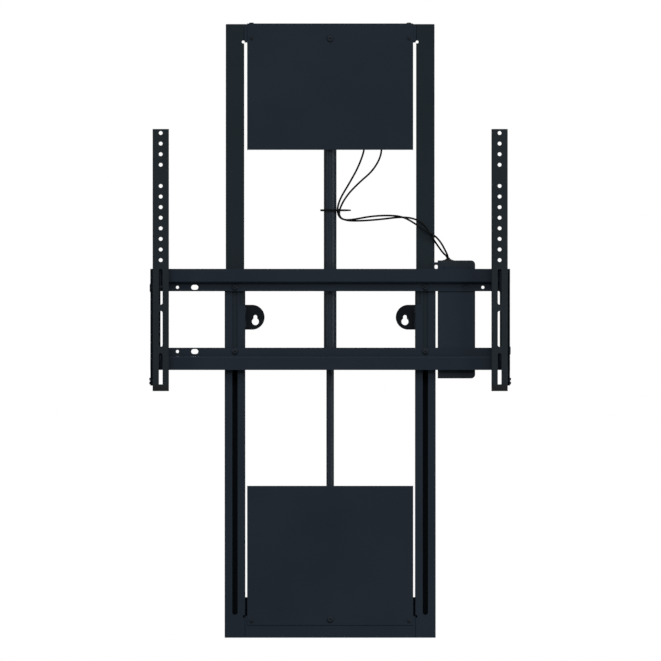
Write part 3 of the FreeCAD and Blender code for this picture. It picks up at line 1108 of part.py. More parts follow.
for word, side in SIDES:
    name = "hook_channel_" + word

    def from_side(low, high):
        """Where a pad along x starts so that it covers low to high on this side."""
        return low if side > 0 else "-(%s)" % high

    web = folded(name + "_web", "YZ_Plane", side_view(WEB_SECTION), "hook_outer - hook_inner",
                 from_side("hook_inner", "hook_outer"))
    inner = folded(name + "_inner", "YZ_Plane", side_view(FLANGE_SECTION), "hook_sheet",
                   from_side("hook_inner", "hook_inner + hook_sheet"))
    outer = folded(name + "_outer", "YZ_Plane", side_view(FLANGE_SECTION), "hook_sheet",
                   from_side("hook_outer - hook_sheet", "hook_outer"))
    holes = []
    for label, d, height, radius in (
            ("pivot", "pivot_depth", "pivot_height", "tilt_bolt_radius + screw_play"),
            ("guide", "guide_depth", "guide_height", "tilt_bolt_radius + screw_play"),
            ("safety", "safety_depth", "safety_height", "safety_radius + screw_play")):
        holes.append(bar("%s_%s" % (name, label), RIGHT, "hook_inner - 1", d, height, radius,
                         "hook_outer - hook_inner + 2", side))
    for label, low, high in (("notch_in", "hook_inner - 1", "hook_inner + hook_relief_in"),
                             ("notch_out", "hook_outer - hook_relief_out", "hook_outer + 1")):
        label = name + "_" + label
        holes.append(slab(label, (low, high), (LIP_BACK + " - 1", "hook_front + 1"),
                          ("upper_bar_top - hook_relief_drop", HOOK_TOP + " + 1"), side))
        holes.append(slab(label + "_lip", (low, high), (LIP_BACK + " - 1", "crossbar_front - 1"),
                          ("upper_bar_top - hook_drop - 1", HOOK_TOP + " + 1"), side))
    holes.append(slab(name + "_notch_low", ("hook_inner - 1", "hook_inner + hook_relief_in"),
                      (HOOK_BACK + " - 1", "hook_front + 1"), ("hook_bottom - 1", "hook_relief_low"), side))
    node(name, cut(name, joined(name + "_folded", web, inner, outer), *holes))

    # Tilt bolts: the guide bolt above and the pivot below, one head out and one head in.
    parts = []
    for label, d, height, head_out in (("guide", "guide_depth", "guide_height", side < 0),
                                       ("pivot", "pivot_depth", "pivot_height", side > 0)):
        bolt = "tilt_%s_%s" % (label, word)
        inner_end = "(hook_inner - tilt_nut_rise)" if head_out else "hook_inner"
        shank = bar(bolt + "_shank", RIGHT, inner_end, d, height, "tilt_bolt_radius",
                    "hook_outer - %s" % inner_end, side)
        if head_out:
            head = bar(bolt + "_head", RIGHT, "hook_outer", d, height, "tilt_head_radius",
                       "tilt_head_rise", side)
            dome = rounded(bolt + "_dome", head, 0.8 * size("tilt_head_rise"), side_ring)
            ring = nut(bolt + "_ring", RIGHT, inner_end, d, height, "tilt_nut_across",
                       "tilt_nut_rise", side)
            bore = bar(bolt + "_bore", RIGHT, inner_end, d, height, "tilt_bolt_radius",
                       "tilt_nut_rise", side)
            parts.append(cut(bolt + "_nut", ring, bore))
            parts.append(joined(bolt, shank, dome))
        else:
            head = bar(bolt + "_head", RIGHT, "hook_inner - tilt_head_rise", d, height,
                       "tilt_head_radius", "tilt_head_rise", side)
            parts.append(joined(bolt, shank, head))
    node("tilt_bolts_" + word, group("tilt_bolts_" + word, *parts))

    # Safety screw: keeps the channel from being lifted off the crossbars.
    name = "safety_screw_" + word
    shank = bar(name + "_shank", RIGHT, "hook_outer - safety_reach", "safety_depth", "safety_height",
                "safety_radius", "safety_reach", side)
    head = bar(name + "_head", RIGHT, "hook_outer", "safety_depth", "safety_height", "safety_head",
               "safety_rise", side)
    groove = slab(name + "_groove", ("hook_outer + safety_rise / 3", "hook_outer + safety_rise + 1"),
                  ("safety_depth - safety_head - 1", "safety_depth + safety_head + 1"),
                  ("safety_height - safety_groove / 2", "safety_height + safety_groove / 2"), side)
    node(name, cut(name, joined(name + "_solid", shank, head), groove))

    # Television arm: a folded channel with screw holes above and long slots below.
    name = "tv_arm_" + word
    low, high = "(arm_centre - arm_width / 2)", "(arm_centre + arm_width / 2)"
    foot = "(arm_bottom + cap_skin)"
    back = "(arm_front - arm_flange)"
    face = slab(name + "_face", (low, high), ("arm_front - arm_sheet", "arm_front"), (foot, "arm_top"), side)
    inner = slab(name + "_inner", (low, low + " + arm_sheet"), (back, "arm_front - arm_sheet"),
                 (foot, "arm_top"), side)
    outer = slab(name + "_outer", (high + " - arm_sheet", high), (back, "arm_front - arm_sheet"),
                 (foot, "arm_top"), side)
    deep = slab(name + "_deep", (high + " - arm_sheet", high), ("arm_deep_back", back),
                ("arm_deep_bottom", "arm_deep_top"), side)
    arm = rounded(name + "_bent", joined(name + "_folded", face, inner, outer, deep),
                  size("arm_sheet"), vertical_front)
    tools = []
    drill = "arm_front - 2 * arm_sheet"
    through = "3 * arm_sheet"
    for number in range(HOLE_COUNT):
        if number != PLAIN_HOLE:
            tools.append(bar("%s_hole_%d" % (name, number), OUT, "arm_centre", drill,
                             "hole_first - %d * hole_pitch" % number, "hole_radius", through, side))
    for number in range(SLOT_COUNT):
        middle = "(slot_first - %d * slot_pitch)" % number
        reach = "(slot_length / 2 - slot_radius)"
        tools.append(slab("%s_slot_%d" % (name, number),
                          ("arm_centre - slot_radius", "arm_centre + slot_radius"),
                          (drill, "arm_front + arm_sheet"),
                          ("%s - %s" % (middle, reach), "%s + %s" % (middle, reach)), side))
        for sign in "+-":
            tools.append(bar("%s_slot_end_%d" % (name, number), OUT, "arm_centre", drill,
                             "%s %s %s" % (middle, sign, reach), "slot_radius", through, side))
    flange_start = high + " - 2 * arm_sheet"
    tools.append(bar(name + "_pivot", RIGHT, flange_start, "pivot_depth", "pivot_height",
                     "tilt_bolt_radius + running_play", through, side))
    tools.append(slab(name + "_tilt_slot", (flange_start, high + " + arm_sheet"),
                      ("guide_depth - tilt_run", "guide_depth"),
                      ("guide_height - tilt_slot_half", "guide_height + tilt_slot_half"), side))
    tools.append(bar(name + "_tilt_front", RIGHT, flange_start, "guide_depth", "guide_height",
                     "tilt_slot_half", through, side))
    tools.append(bar(name + "_tilt_back", RIGHT, flange_start, "guide_depth - tilt_run",
                     "guide_height", "tilt_slot_half", through, side))
    node(name, cut(name, arm, *tools))

    # End cap: a plastic cap over the lower end of the arm.
    name = "arm_end_cap_" + word
    skin = slab(name + "_skin", (low, high), ("arm_front", "arm_front + cap_skin"),
                ("arm_bottom", "arm_bottom + cap_rise"), side)
    floor = slab(name + "_floor", (low, high), (back, "arm_front"), ("arm_bottom", foot), side)
    pip = bar(name + "_pip", OUT, "arm_centre", "arm_front + cap_skin", "arm_bottom + 0.6 * cap_rise",
              "cap_pip", "cap_skin / 2", side)
    node(name, joined(name, skin, floor, pip))

doc.recompute()
for item in doc.Objects:
    if "Invalid" in item.State or "Error" in item.State:
        raise RuntimeError("%s is %s" % (item.Label, item.State))
for label, item in nodes:
    if item.Shape.isNull() or not item.Shape.isValid() or not item.Shape.Solids:
        raise RuntimeError(label + " has no valid solid")
for label, item in nodes:
    item.Shape.exportStep("parts/%s.step" % label)
print("%d pieces" % len(nodes))
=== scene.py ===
import bpy
import numpy as np
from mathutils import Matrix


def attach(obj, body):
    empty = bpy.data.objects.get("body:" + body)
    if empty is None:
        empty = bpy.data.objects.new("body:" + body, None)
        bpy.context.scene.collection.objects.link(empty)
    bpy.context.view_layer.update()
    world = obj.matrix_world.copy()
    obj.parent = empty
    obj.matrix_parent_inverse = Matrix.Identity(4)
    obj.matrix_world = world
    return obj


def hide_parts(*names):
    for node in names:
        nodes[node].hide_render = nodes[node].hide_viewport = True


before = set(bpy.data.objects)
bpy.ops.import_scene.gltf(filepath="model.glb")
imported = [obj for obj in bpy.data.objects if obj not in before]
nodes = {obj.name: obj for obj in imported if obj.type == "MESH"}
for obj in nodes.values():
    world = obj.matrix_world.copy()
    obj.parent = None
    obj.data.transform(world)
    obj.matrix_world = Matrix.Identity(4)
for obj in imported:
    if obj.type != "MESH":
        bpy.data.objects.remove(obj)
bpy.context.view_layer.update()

# Studio: the mount is seen square from the front with a very long lens, on plain white,
# under two broad soft lights from above and two tall, weaker ones from the sides. Three more
# stand beside and behind it, for its sides and back. The pale floor is clear from below.
view_distance, view_height, view_field = 60.0, 0.6784, 1.5613
view_aside, view_plane = 0.0008, -0.09
lens = bpy.data.cameras.new("front_camera")
lens.sensor_width = 36.0
lens.lens = lens.sensor_width * view_distance / view_field
lens.clip_end = 120.0
camera = bpy.data.objects.new("front_camera", lens)
camera.location = (view_aside, view_plane - view_distance, view_height)
camera.rotation_euler = (np.pi / 2, 0, 0)
bpy.context.scene.collection.objects.link(camera)
bpy.context.scene.camera = camera
bpy.context.scene.view_settings.view_transform = "Standard"

for name, place, turn, width, height, power in (
        ("overhead_softbox", (1.0, -18.0, 22.1), (np.radians(40.1), 0, 0), 16.0, 9.2, 2600.0),
        ("front_softbox", (-0.8, -23.0, 9.6), (np.radians(68.8), 0, 0), 14.0, 6.0, 1490.0),
        ("right_strip", (2.8, -1.8, 0.9), (np.radians(90), 0, np.radians(58)), 0.8, 2.8, 28.0),
        ("left_strip", (-3.0, -2.0, 0.9), (np.radians(90), 0, np.radians(-58)), 0.8, 2.8, 14.0),
        ("rear_softbox", (0.0, 14.0, 9.0), (np.radians(-59), 0, 0), 9.0, 6.0, 1500.0),
        ("right_softbox", (14.0, 2.0, 6.0), (np.radians(69), 0, np.radians(98)), 4.0, 6.0, 500.0),
        ("left_softbox", (-14.0, 2.0, 6.0), (np.radians(69), 0, np.radians(-98)), 4.0, 6.0, 500.0)):
    softbox = bpy.data.lights.new(name, "AREA")
    softbox.shape = "RECTANGLE"
    softbox.size, softbox.size_y, softbox.energy = width, height, power
    stand = bpy.data.objects.new(name, softbox)
    stand.location, stand.rotation_euler = place, turn
    bpy.context.scene.collection.objects.link(stand)

world = bpy.data.worlds.new("white_room")
world.use_nodes = True
bpy.context.scene.world = world
tree = world.node_tree
tree.nodes.clear()
backdrop, fill = tree.nodes.new("ShaderNodeBackground"), tree.nodes.new("ShaderNodeBackground")
backdrop.inputs["Color"].default_value = (1, 1, 1, 1)
fill.inputs["Color"].default_value = (0.88, 0.94, 1, 1)
fill.inputs["Strength"].default_value = 0.16
ray, blend = tree.nodes.new("ShaderNodeLightPath"), tree.nodes.new("ShaderNodeMixShader")
tree.links.new(ray.outputs["Is Camera Ray"], blend.inputs[0])
tree.links.new(fill.outputs[0], blend.inputs[1])
tree.links.new(backdrop.outputs[0], blend.inputs[2])
tree.links.new(blend.outputs[0], tree.nodes.new("ShaderNodeOutputWorld").inputs["Surface"])

floor_reach, floor_level = 15, -1
floor_mesh = bpy.data.meshes.new("pale_floor")
floor_mesh.from_pydata([(x * floor_reach, y * floor_reach, floor_level)
                        for x, y in ((-1, -1), (1, -1), (1, 1), (-1, 1))], [], [(0, 1, 2, 3)])
floor = bpy.data.objects.new("pale_floor", floor_mesh)
bpy.context.scene.collection.objects.link(floor)
floor_paint = bpy.data.materials.new("pale_floor")
floor_paint.use_nodes = True
floor_shader = floor_paint.node_tree.nodes["Principled BSDF"]
floor_shader.inputs["Base Color"].default_value = (0.8, 0.8, 0.8, 1)
floor_shader.inputs["Roughness"].default_value = 0.9
floor_shader.inputs["Emission Color"].default_value = (1, 1, 1, 1)
floor_shader.inputs["Emission Strength"].default_value = 0.55
floor_links, floor_new = floor_paint.node_tree.links, floor_paint.node_tree.nodes.new
facing, clear, sheer = (floor_new("ShaderNodeNewGeometry"), floor_new("ShaderNodeBsdfTransparent"),
                        floor_new("ShaderNodeMixShader"))
floor_links.new(facing.outputs["Backfacing"], sheer.inputs[0])
floor_links.new(floor_shader.outputs[0], sheer.inputs[1])
floor_links.new(clear.outputs[0], sheer.inputs[2])
floor_links.new(sheer.outputs[0], floor_paint.node_tree.nodes["Material Output"].inputs["Surface"])
floor_mesh.materials.append(floor_paint)
floor.visible_diffuse = floor.visible_glossy = False

# Two round cables of 4.4 mm run from the terminal on the gearbox to the gland on the control
# box. They are soft black jacket over fine strands, held to the tube by one tie, and cross
# each other three times on their way.


def finish(name, dark, light, roughness, grain, relief=0.3, metal=0.0, gloss=0.25, edge_wear_and_highlight=0.0,
           stretch=(1, 1, 1)):
    """A surface with a cloudy tone between two colours and a fine relief.

    A coarse noise picks the tone and the roughness, a fine one of the given grain (cells per
    metre) raises the surface by up to a tenth of a millimetre, and where the rounded normal
    leaves the flat one the coat turns to a paler tone, partly real wear and partly a painted
    highlight on the edges. Stretch turns grain into streaks.
    """
    material = bpy.data.materials.new(name)
    material.use_nodes = True
    links, shader = material.node_tree.links, material.node_tree.nodes["Principled BSDF"]
    new = material.node_tree.nodes.new
    cloud_scale, relief_height, edge_radius = 6.0, 0.0001, 0.0008
    where, turn = new("ShaderNodeTexCoord"), new("ShaderNodeMapping")
    turn.inputs["Scale"].default_value = stretch
    links.new(where.outputs["Object"], turn.inputs["Vector"])
    clouds, pimples = new("ShaderNodeTexNoise"), new("ShaderNodeTexNoise")
    clouds.inputs["Scale"].default_value, clouds.inputs["Detail"].default_value = cloud_scale, 6.0
    pimples.inputs["Scale"].default_value, pimples.inputs["Detail"].default_value = grain, 2.0
    links.new(turn.outputs["Vector"], clouds.inputs["Vector"])
    links.new(turn.outputs["Vector"], pimples.inputs["Vector"])
    tone, rough, bumps = new("ShaderNodeValToRGB"), new("ShaderNodeMapRange"), new("ShaderNodeBump")
    tone.color_ramp.elements[0].position, tone.color_ramp.elements[0].color = 0.3, (*dark, 1)
    tone.color_ramp.elements[1].position, tone.color_ramp.elements[1].color = 0.7, (*light, 1)
    rough.inputs["To Min"].default_value = roughness - 0.05
    rough.inputs["To Max"].default_value = roughness + 0.07
    bumps.inputs["Strength"].default_value = relief
    bumps.inputs["Distance"].default_value = relief_height
    links.new(clouds.outputs["Fac"], tone.inputs["Fac"])
    links.new(clouds.outputs["Fac"], rough.inputs["Value"])
    links.new(rough.outputs["Result"], shader.inputs["Roughness"])
    links.new(pimples.outputs["Fac"], bumps.inputs["Height"])
    links.new(bumps.outputs["Normal"], shader.inputs["Normal"])
    shader.inputs["Metallic"].default_value = metal
    shader.inputs["Specular IOR Level"].default_value = gloss
    if not edge_wear_and_highlight:
        links.new(tone.outputs["Color"], shader.inputs["Base Color"])
        return material
    # Paler edges: partly real wear of the coat, partly a painted highlight where rounded edges catch the
    # light.
    edge, flat, apart, edge_wear_and_highlight_factor = (new("ShaderNodeBevel"), new("ShaderNodeNewGeometry"),
                               new("ShaderNodeVectorMath"), new("ShaderNodeMapRange"))
    edge.samples, edge.inputs["Radius"].default_value = 4, edge_radius
    apart.operation = "DOT_PRODUCT"
    edge_wear_and_highlight_factor.inputs["From Min"].default_value, edge_wear_and_highlight_factor.inputs["From Max"].default_value = 0.995, 0.8
    edge_wear_and_highlight_factor.inputs["To Max"].default_value = edge_wear_and_highlight
    edge_wear_and_highlight_mix = new("ShaderNodeMix")
    edge_wear_and_highlight_mix.data_type = "RGBA"
    edge_wear_and_highlight_mix.inputs["B"].default_value = (light[0] * 2.4, light[1] * 2.3, light[2] * 2.2, 1)
    links.new(edge.outputs["Normal"], bumps.inputs["Normal"])
    links.new(edge.outputs["Normal"], apart.inputs[0])
    links.new(flat.outputs["True Normal"], apart.inputs[1])
    links.new(apart.outputs["Value"], edge_wear_and_highlight_factor.inputs["Value"])
    links.new(edge_wear_and_highlight_factor.outputs["Result"], edge_wear_and_highlight_mix.inputs["Factor"])
    links.new(tone.outputs["Color"], edge_wear_and_highlight_mix.inputs["A"])
    links.new(edge_wear_and_highlight_mix.outputs["Result"], shader.inputs["Base Color"])
    return material


motor_cable_route = [
    (0.0260, -0.0350, 1.2683), (0.0260, -0.0350, 1.2343), (0.0420, -0.0370, 1.1963),
    (0.0720, -0.0390, 1.1603), (0.0845, -0.0400, 1.1163), (0.0685, -0.0410, 1.0683),
    (0.0450, -0.0420, 1.0258), (0.0245, -0.0419, 0.9923), (0.0162, -0.0416, 0.9663),
    (0.0200, -0.0425, 0.9473), (0.0335, -0.0460, 0.9391), (0.0590, -0.0518, 0.9413),
    (0.0920, -0.0588, 0.9478), (0.1320, -0.0665, 0.9508), (0.1700, -0.0725, 0.9483),
    (0.1990, -0.0735, 0.9323), (0.2220, -0.0735, 0.9148), (0.2470, -0.0720, 0.9033),
    (0.2620, -0.0650, 0.8863), (0.2710, -0.0560, 0.8693), (0.2770, -0.0494, 0.8578),
    (0.2796, -0.0456, 0.8475),
]
sensor_cable_route = [
    (0.0260, -0.0290, 1.2683), (0.0260, -0.0290, 1.2363), (0.0460, -0.0300, 1.2023),
    (0.0800, -0.0310, 1.1663), (0.1170, -0.0320, 1.1383), (0.1240, -0.0330, 1.0993),
    (0.1035, -0.0340, 1.0583), (0.0685, -0.0350, 1.0283), (0.0395, -0.0355, 0.9983),
    (0.0218, -0.0357, 0.9663), (0.0213, -0.0369, 0.9468), (0.0365, -0.0409, 0.9385),
    (0.0620, -0.0466, 0.9373), (0.0940, -0.0532, 0.9389), (0.1300, -0.0605, 0.9423),
    (0.1660, -0.0660, 0.9468), (0.1980, -0.0672, 0.9438), (0.2220, -0.0672, 0.9293),
    (0.2350, -0.0672, 0.9103), (0.2440, -0.0660, 0.8938), (0.2560, -0.0590, 0.8763),
    (0.2675, -0.0480, 0.8608), (0.2755, -0.0415, 0.8543), (0.2783, -0.0390, 0.8475),
]
cable_jacket = finish("cable_jacket", (0.0016, 0.0018, 0.0021), (0.0030, 0.0032, 0.0036), 0.58, 1500.0,
                      gloss=0.12)
cable_thick = 0.0044
for node_name, route, length in (("motor_cable", motor_cable_route, 0.6638),
                                 ("sensor_cable", sensor_cable_route, 0.7055)):
    curve = bpy.data.curves.new(node_name + "_line", "CURVE")
    curve.dimensions = "3D"
    curve.bevel_depth, curve.bevel_resolution, curve.resolution_u = cable_thick / 2, 6, 10
    curve.use_fill_caps = True
    spline = curve.splines.new("NURBS")
    spline.points.add(len(route) - 1)
    spline.points.foreach_set("co", np.c_[np.array(route), np.ones(len(route))].ravel())
    spline.order_u = 3
    spline.use_endpoint_u = True
    cable = bpy.data.objects.new(node_name + "_line", curve)
    bpy.context.scene.collection.objects.link(cable)
    curve.materials.append(cable_jacket)
    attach(cable, "lift")
    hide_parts(node_name)

# Fixed frame: two slotted rails of 2 mm steel welded to a cross plate below, and a plate on the
# wall. All is powder coated after welding, matt blue black with a fine grain and paler edges,
# partly wear and partly painted highlight, and the back walls inside the rails carry painted
# shade.


def finish_nodes(material, *names):
    """Gives pieces of the mount a finish in place of the plain one they came with."""
    for name in names:
        nodes[name].data.materials.clear()
        nodes[name].data.materials.append(material)


def powder_coat(name, dark, light):
    """The matt, finely grained coat of the mount's steel, in a tone between two colours."""
    return finish(name, dark, light, 0.52, 900.0, relief=0.35, gloss=0.12, edge_wear_and_highlight=0.15)


frame_paint = powder_coat("frame_paint", (0.0112, 0.0180, 0.0275), (0.0140, 0.0222, 0.0335))
finish_nodes(frame_paint, "lower_front_plate", "lower_wall_plate")


def painted_shade_at_depth(paint, name, depth, tone):
    """A copy of a paint with painted shade on the faces at one depth from the wall.

    The copy mixes its colour with a darker shade tone by a step in the Object coordinate y, which
    is one within a fifth of a millimetre of that depth, and nought elsewhere.
    """
    step_half = 0.0002
    material = paint.copy()
    material.name = name
    links, nodes_of = material.node_tree.links, material.node_tree.nodes
    shader = nodes_of["Principled BSDF"]
    coat = shader.inputs["Base Color"].links[0].from_socket
    where, axes, near, mix = (nodes_of.new("ShaderNodeTexCoord"), nodes_of.new("ShaderNodeSeparateXYZ"),
                              nodes_of.new("ShaderNodeMath"), nodes_of.new("ShaderNodeMix"))
    near.operation, mix.data_type = "COMPARE", "RGBA"
    near.inputs[1].default_value, near.inputs[2].default_value = -depth, step_half
    mix.inputs["B"].default_value = (*tone, 1)
    links.new(where.outputs["Object"], axes.inputs[0])
    links.new(axes.outputs["Y"], near.inputs[0])
    links.new(near.outputs[0], mix.inputs["Factor"])
    links.new(coat, mix.inputs["A"])
    links.new(mix.outputs["Result"], shader.inputs["Base Color"])
    return material


rail_sheet = 0.0020
# Painted shade: the back walls deep inside the rails are painted darker where shade falls in the slots.
rail_paint_with_painted_shade = painted_shade_at_depth(frame_paint, "rail_paint_with_painted_shade", rail_sheet, (0.0030, 0.0054, 0.0092))
finish_nodes(rail_paint_with_painted_shade, "outer_rail_left", "outer_rail_right")
# Painted shade: the keyhole brackets sit back at the wall in shadow, so their coat is painted far darker than
# the frame's.
bracket_painted_shade = finish("bracket_painted_shade", (0.0048, 0.0068, 0.0098), (0.0080, 0.0110, 0.0150), 0.6, 700.0,
                    relief=0.5, gloss=0.12, edge_wear_and_highlight=0.2)
finish_nodes(bracket_painted_shade, "keyhole_bracket_left", "keyhole_bracket_right")

# Weld beads of the fixed frame: short fillets that hold the keyhole brackets and the wall plate
# to the rails, laid by hand, so that each has the ripples of its puddles.
foot = 0.0477


def piece(name, body, material, grids, hides=()):
    """One mesh from grids of points, each a stack of rings going round.

    Neighbouring rings are joined by four-sided faces. The first and last ring are closed by
    flat faces, unless the grid comes with True, which joins the last ring to the first.
    """
    points, faces, start = [], [], 0
    for grid, hoop in grids:
        count = grid.shape[0] * grid.shape[1]
        index = start + np.arange(count).reshape(grid.shape[:2])
        low = index if hoop else index[:-1]
        high = np.roll(index, -1, axis=0) if hoop else index[1:]
        quads = np.stack([low, np.roll(low, -1, axis=1), np.roll(high, -1, axis=1), high], axis=-1)
        faces += quads.reshape(-1, 4).tolist()
        if not hoop:
            faces += [index[0][::-1].tolist(), index[-1].tolist()]
        points.append(grid.reshape(-1, 3))
        start += count
    mesh = bpy.data.meshes.new(name)
    mesh.from_pydata(np.concatenate(points).tolist(), [], faces)
    mesh.polygons.foreach_set("use_smooth", np.ones(len(faces), bool))
    mesh.set_sharp_from_angle(angle=np.radians(34))
    mesh.materials.append(material)
    made = bpy.data.objects.new(name, mesh)
    bpy.context.scene.collection.objects.link(made)
    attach(made, body)
    if hides:
        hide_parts(*hides)
    return made


def bead(start, end, radius=0.0017, pitch=0.0024):
    """A round bar from start to end whose radius swells and falls once for every pitch.

    Each ring is a circle square to the seam: its radius is the given one, times one and a
    tenth of a cosine along the seam, and sinks to nothing at both ends as a quarter circle.
    """
    start, end = np.array(start), np.array(end)
    length = np.linalg.norm(end - start)
    along = (end - start) / length
    side = np.cross(along, (0.31, 0.57, 0.76))
    side /= np.linalg.norm(side)
    other = np.cross(along, side)
    far = np.linspace(0, length, int(length / pitch) * 8 + 2)
    rise = np.clip(np.minimum(far, length - far) / (1.6 * radius), 0.02, 1)
    size = radius * (1 + 0.1 * np.cos(2 * np.pi * far / pitch)) * np.sqrt(1 - (1 - rise) ** 2)
    turn = np.linspace(0, 2 * np.pi, 12, endpoint=False)
    spoke = np.cos(turn)[:, None] * side + np.sin(turn)[:, None] * other
    return start + far[:, None, None] * along + size[:, None, None] * spoke, False


rail_inside = 0.2007
bracket_seam_depth, bracket_seams = 0.0499, ((0.7345, 0.7495), (0.7655, 0.7805))
plate_seam_depth, plate_seams, plate_bead = 0.0033, ((0.0085, 0.0305), (0.0585, 0.0885)), 0.0020
weld = finish("weld_bead", (0.0105, 0.0155, 0.0220), (0.0130, 0.0190, 0.0265), 0.45, 1500.0, gloss=0.2)
seams = []
for side in (-1, 1):
    x = side * rail_inside
    for low, high in bracket_seams:
        seams.append(bead((x, -bracket_seam_depth, low - foot), (x, -bracket_seam_depth, high - foot)))
    for low, high in plate_seams:
        seams.append(bead((x, -plate_seam_depth, low - foot), (x, -plate_seam_depth, high - foot),
                          plate_bead))
piece("frame_weld_beads", "wall_frame", weld, seams)

# Lower cover: one folded sheet over the foot of the frame, held by two low cross-recessed
# screws that are tapped into the cross plate.
finish_nodes(frame_paint, "lower_cover")


def hexagon(turn, flat):
    """Radius of a hexagon at an angle: half its width across the flats, over the cosine."""
    return flat / np.cos(turn % (np.pi / 3) - np.pi / 6)


def cross(turn, reach):
    """Radius of a plus sign at an angle: its arm's end or, past that, the side of the arm."""
    fold = np.abs((turn + np.pi / 4) % (np.pi / 2) - np.pi / 4)
    return np.minimum(reach / np.cos(fold), 0.26 * reach / np.maximum(np.sin(fold), 0.02))


def turned(centre, along, profile, sides=48, loop=False):
    """A piece turned about a line: each (reach, radius, outline, limit) is one ring.

    The ring lies square to the line at that reach from the centre. It is a circle, or the
    named outline where one is given, cut back to the limit where that is smaller.
    """
    along = np.array(along, float)
    first = np.cross(along, (0.0, 0.0, 1.0)) if abs(along[2]) < 0.5 else np.array((1.0, 0.0, 0.0))
    second = np.cross(along, first)
    turn = np.linspace(0, 2 * np.pi, sides, endpoint=False)
    spoke = np.cos(turn)[:, None] * first + np.sin(turn)[:, None] * second
    rings = []
    for reach, radius, outline, limit in profile:
        size = outline(turn, radius) if outline else np.full(sides, radius)
        size = np.minimum(size, limit) if limit else size
        rings.append(np.array(centre) + reach * along + size[:, None] * spoke)
    return np.array(rings), loop


def round_rows(reach, radius, height, width, steps=5):
    """Rows of a quarter ellipse from the rim of a head to its flat top, width wide."""
    turn = np.linspace(0, np.pi / 2, steps)
    return [(reach + height * np.sin(a), radius - width * (1 - np.cos(a)), None, None) for a in turn]


def screw(face, along, head, rise, shank, depth, recess, mouth, sunk):
    """Head and shank of a screw seated on a face, with a recess of the given mouth."""
    rows = [(-depth, shank * 0.8, None, None), (-depth + shank * 0.3, shank, None, None),
            (0, shank, None, None), (0, head * 0.96, None, None), (rise * 0.12, head, None, None)]
    rows += round_rows(rise * 0.35, head, rise * 0.65, head * 0.42)
    rows += [(rise, mouth * 1.12, recess, None), (rise - 0.05 * rise, mouth, recess, None),
             (rise - sunk, mouth * 0.86, recess, None)]
    return turned(face, along, rows)


out, back, up = (0, -1, 0), (0, 1, 0), (0, 0, 1)
black_zinc = finish("black_zinc", (0.0080, 0.0128, 0.0192), (0.0106, 0.0164, 0.0240), 0.45, 2200.0,
                    gloss=0.2, edge_wear_and_highlight=0.1)
small_head, small_rise, small_shank, small_reach = 0.0044, 0.0024, 0.0020, 0.0090
small_mouth, small_sunk = 0.0023, 0.0015
cover_screw_x, lower_cover_front, lower_screw_height = 0.1860, 0.0615, 0.0399


def pan_screw(face, along, head=small_head, reach=small_reach):
    """A low pan head with a cross recess, over a short tapping shank of the given reach."""
    return screw(face, along, head, small_rise, small_shank, reach, cross, small_mouth, small_sunk)


piece("lower_cover_pan_screws", "wall_frame", black_zinc,
      [pan_screw((side * cover_screw_x, -lower_cover_front, lower_screw_height - foot), out)
       for side in (-1, 1)], ["lower_cover_screws"])

# Lower end of the actuator: a bolted bracket with two ears, a zinc plated pin through them and
# through the rod, and a domed socket bolt whose nut stands behind the bracket.
finish_nodes(frame_paint, "rod_anchor_bracket")
zinc_steel = finish("zinc_steel", (0.36, 0.37, 0.39), (0.52, 0.53, 0.55), 0.38, 1800.0, relief=0.2,
                    metal=1.0)
finish_nodes(zinc_steel, "rod_anchor_pin")


def nut(base, along, across, rise, bore):
    """A hexagon nut: flat sides, corners cut back by a chamfer at both faces, open bore."""
    flat = across / 2
    corner = flat * 1.155
    rows = [(0, flat, hexagon, flat * 0.97), (rise * 0.10, flat, hexagon, corner * 0.965),
            (rise * 0.18, flat, hexagon, None), (rise * 0.82, flat, hexagon, None),
            (rise * 0.90, flat, hexagon, corner * 0.965), (rise, flat, hexagon, flat * 0.97),
            (rise, bore * 1.12, None, None), (rise * 0.93, bore, None, None),
            (rise * 0.07, bore, None, None), (0, bore * 1.12, None, None)]
    return turned(base, along, rows, loop=True)


bolt_shank, bolt_mouth = 0.0040, 0.0025
nut_across, nut_rise, nut_bore = 0.0130, 0.0064, 0.00402
anchor_head, anchor_rise, anchor_sunk = 0.0075, 0.0040, 0.0022
anchor_height, anchor_grip = 0.0435, 0.0065


def anchor_bolt(face, height, grip):
    """A domed bolt through cover, plate and bracket, with its nut on the far side."""
    bolt = screw((0, -face, height), out, anchor_head, anchor_rise, bolt_shank, grip + nut_rise,
                 hexagon, bolt_mouth, anchor_sunk)
    ring = nut((0, -face + grip + nut_rise, height), out, nut_across, nut_rise, nut_bore)
    return [bolt, ring]


piece("rod_anchor_domed_bolt", "wall_frame", black_zinc,
      anchor_bolt(lower_cover_front, anchor_height - foot, anchor_grip), ["rod_anchor_bolt"])

# Actuator rod: a ground steel tube painted satin black, with a cross hole for the pin, and the
# bronze nut at its upper end that the spindle turns in.
tube_paint = finish("tube_paint", (0.0080, 0.0152, 0.0246), (0.0102, 0.0184, 0.0290), 0.40, 1300.0,
                    relief=0.12, gloss=0.3, edge_wear_and_highlight=0.25)
finish_nodes(tube_paint, "actuator_rod")
bronze = finish("bronze", (0.38, 0.22, 0.075), (0.52, 0.32, 0.12), 0.34, 2600.0, relief=0.2, metal=1.0,
                stretch=(0.1, 0.1, 1))
finish_nodes(bronze, "rod_nut")

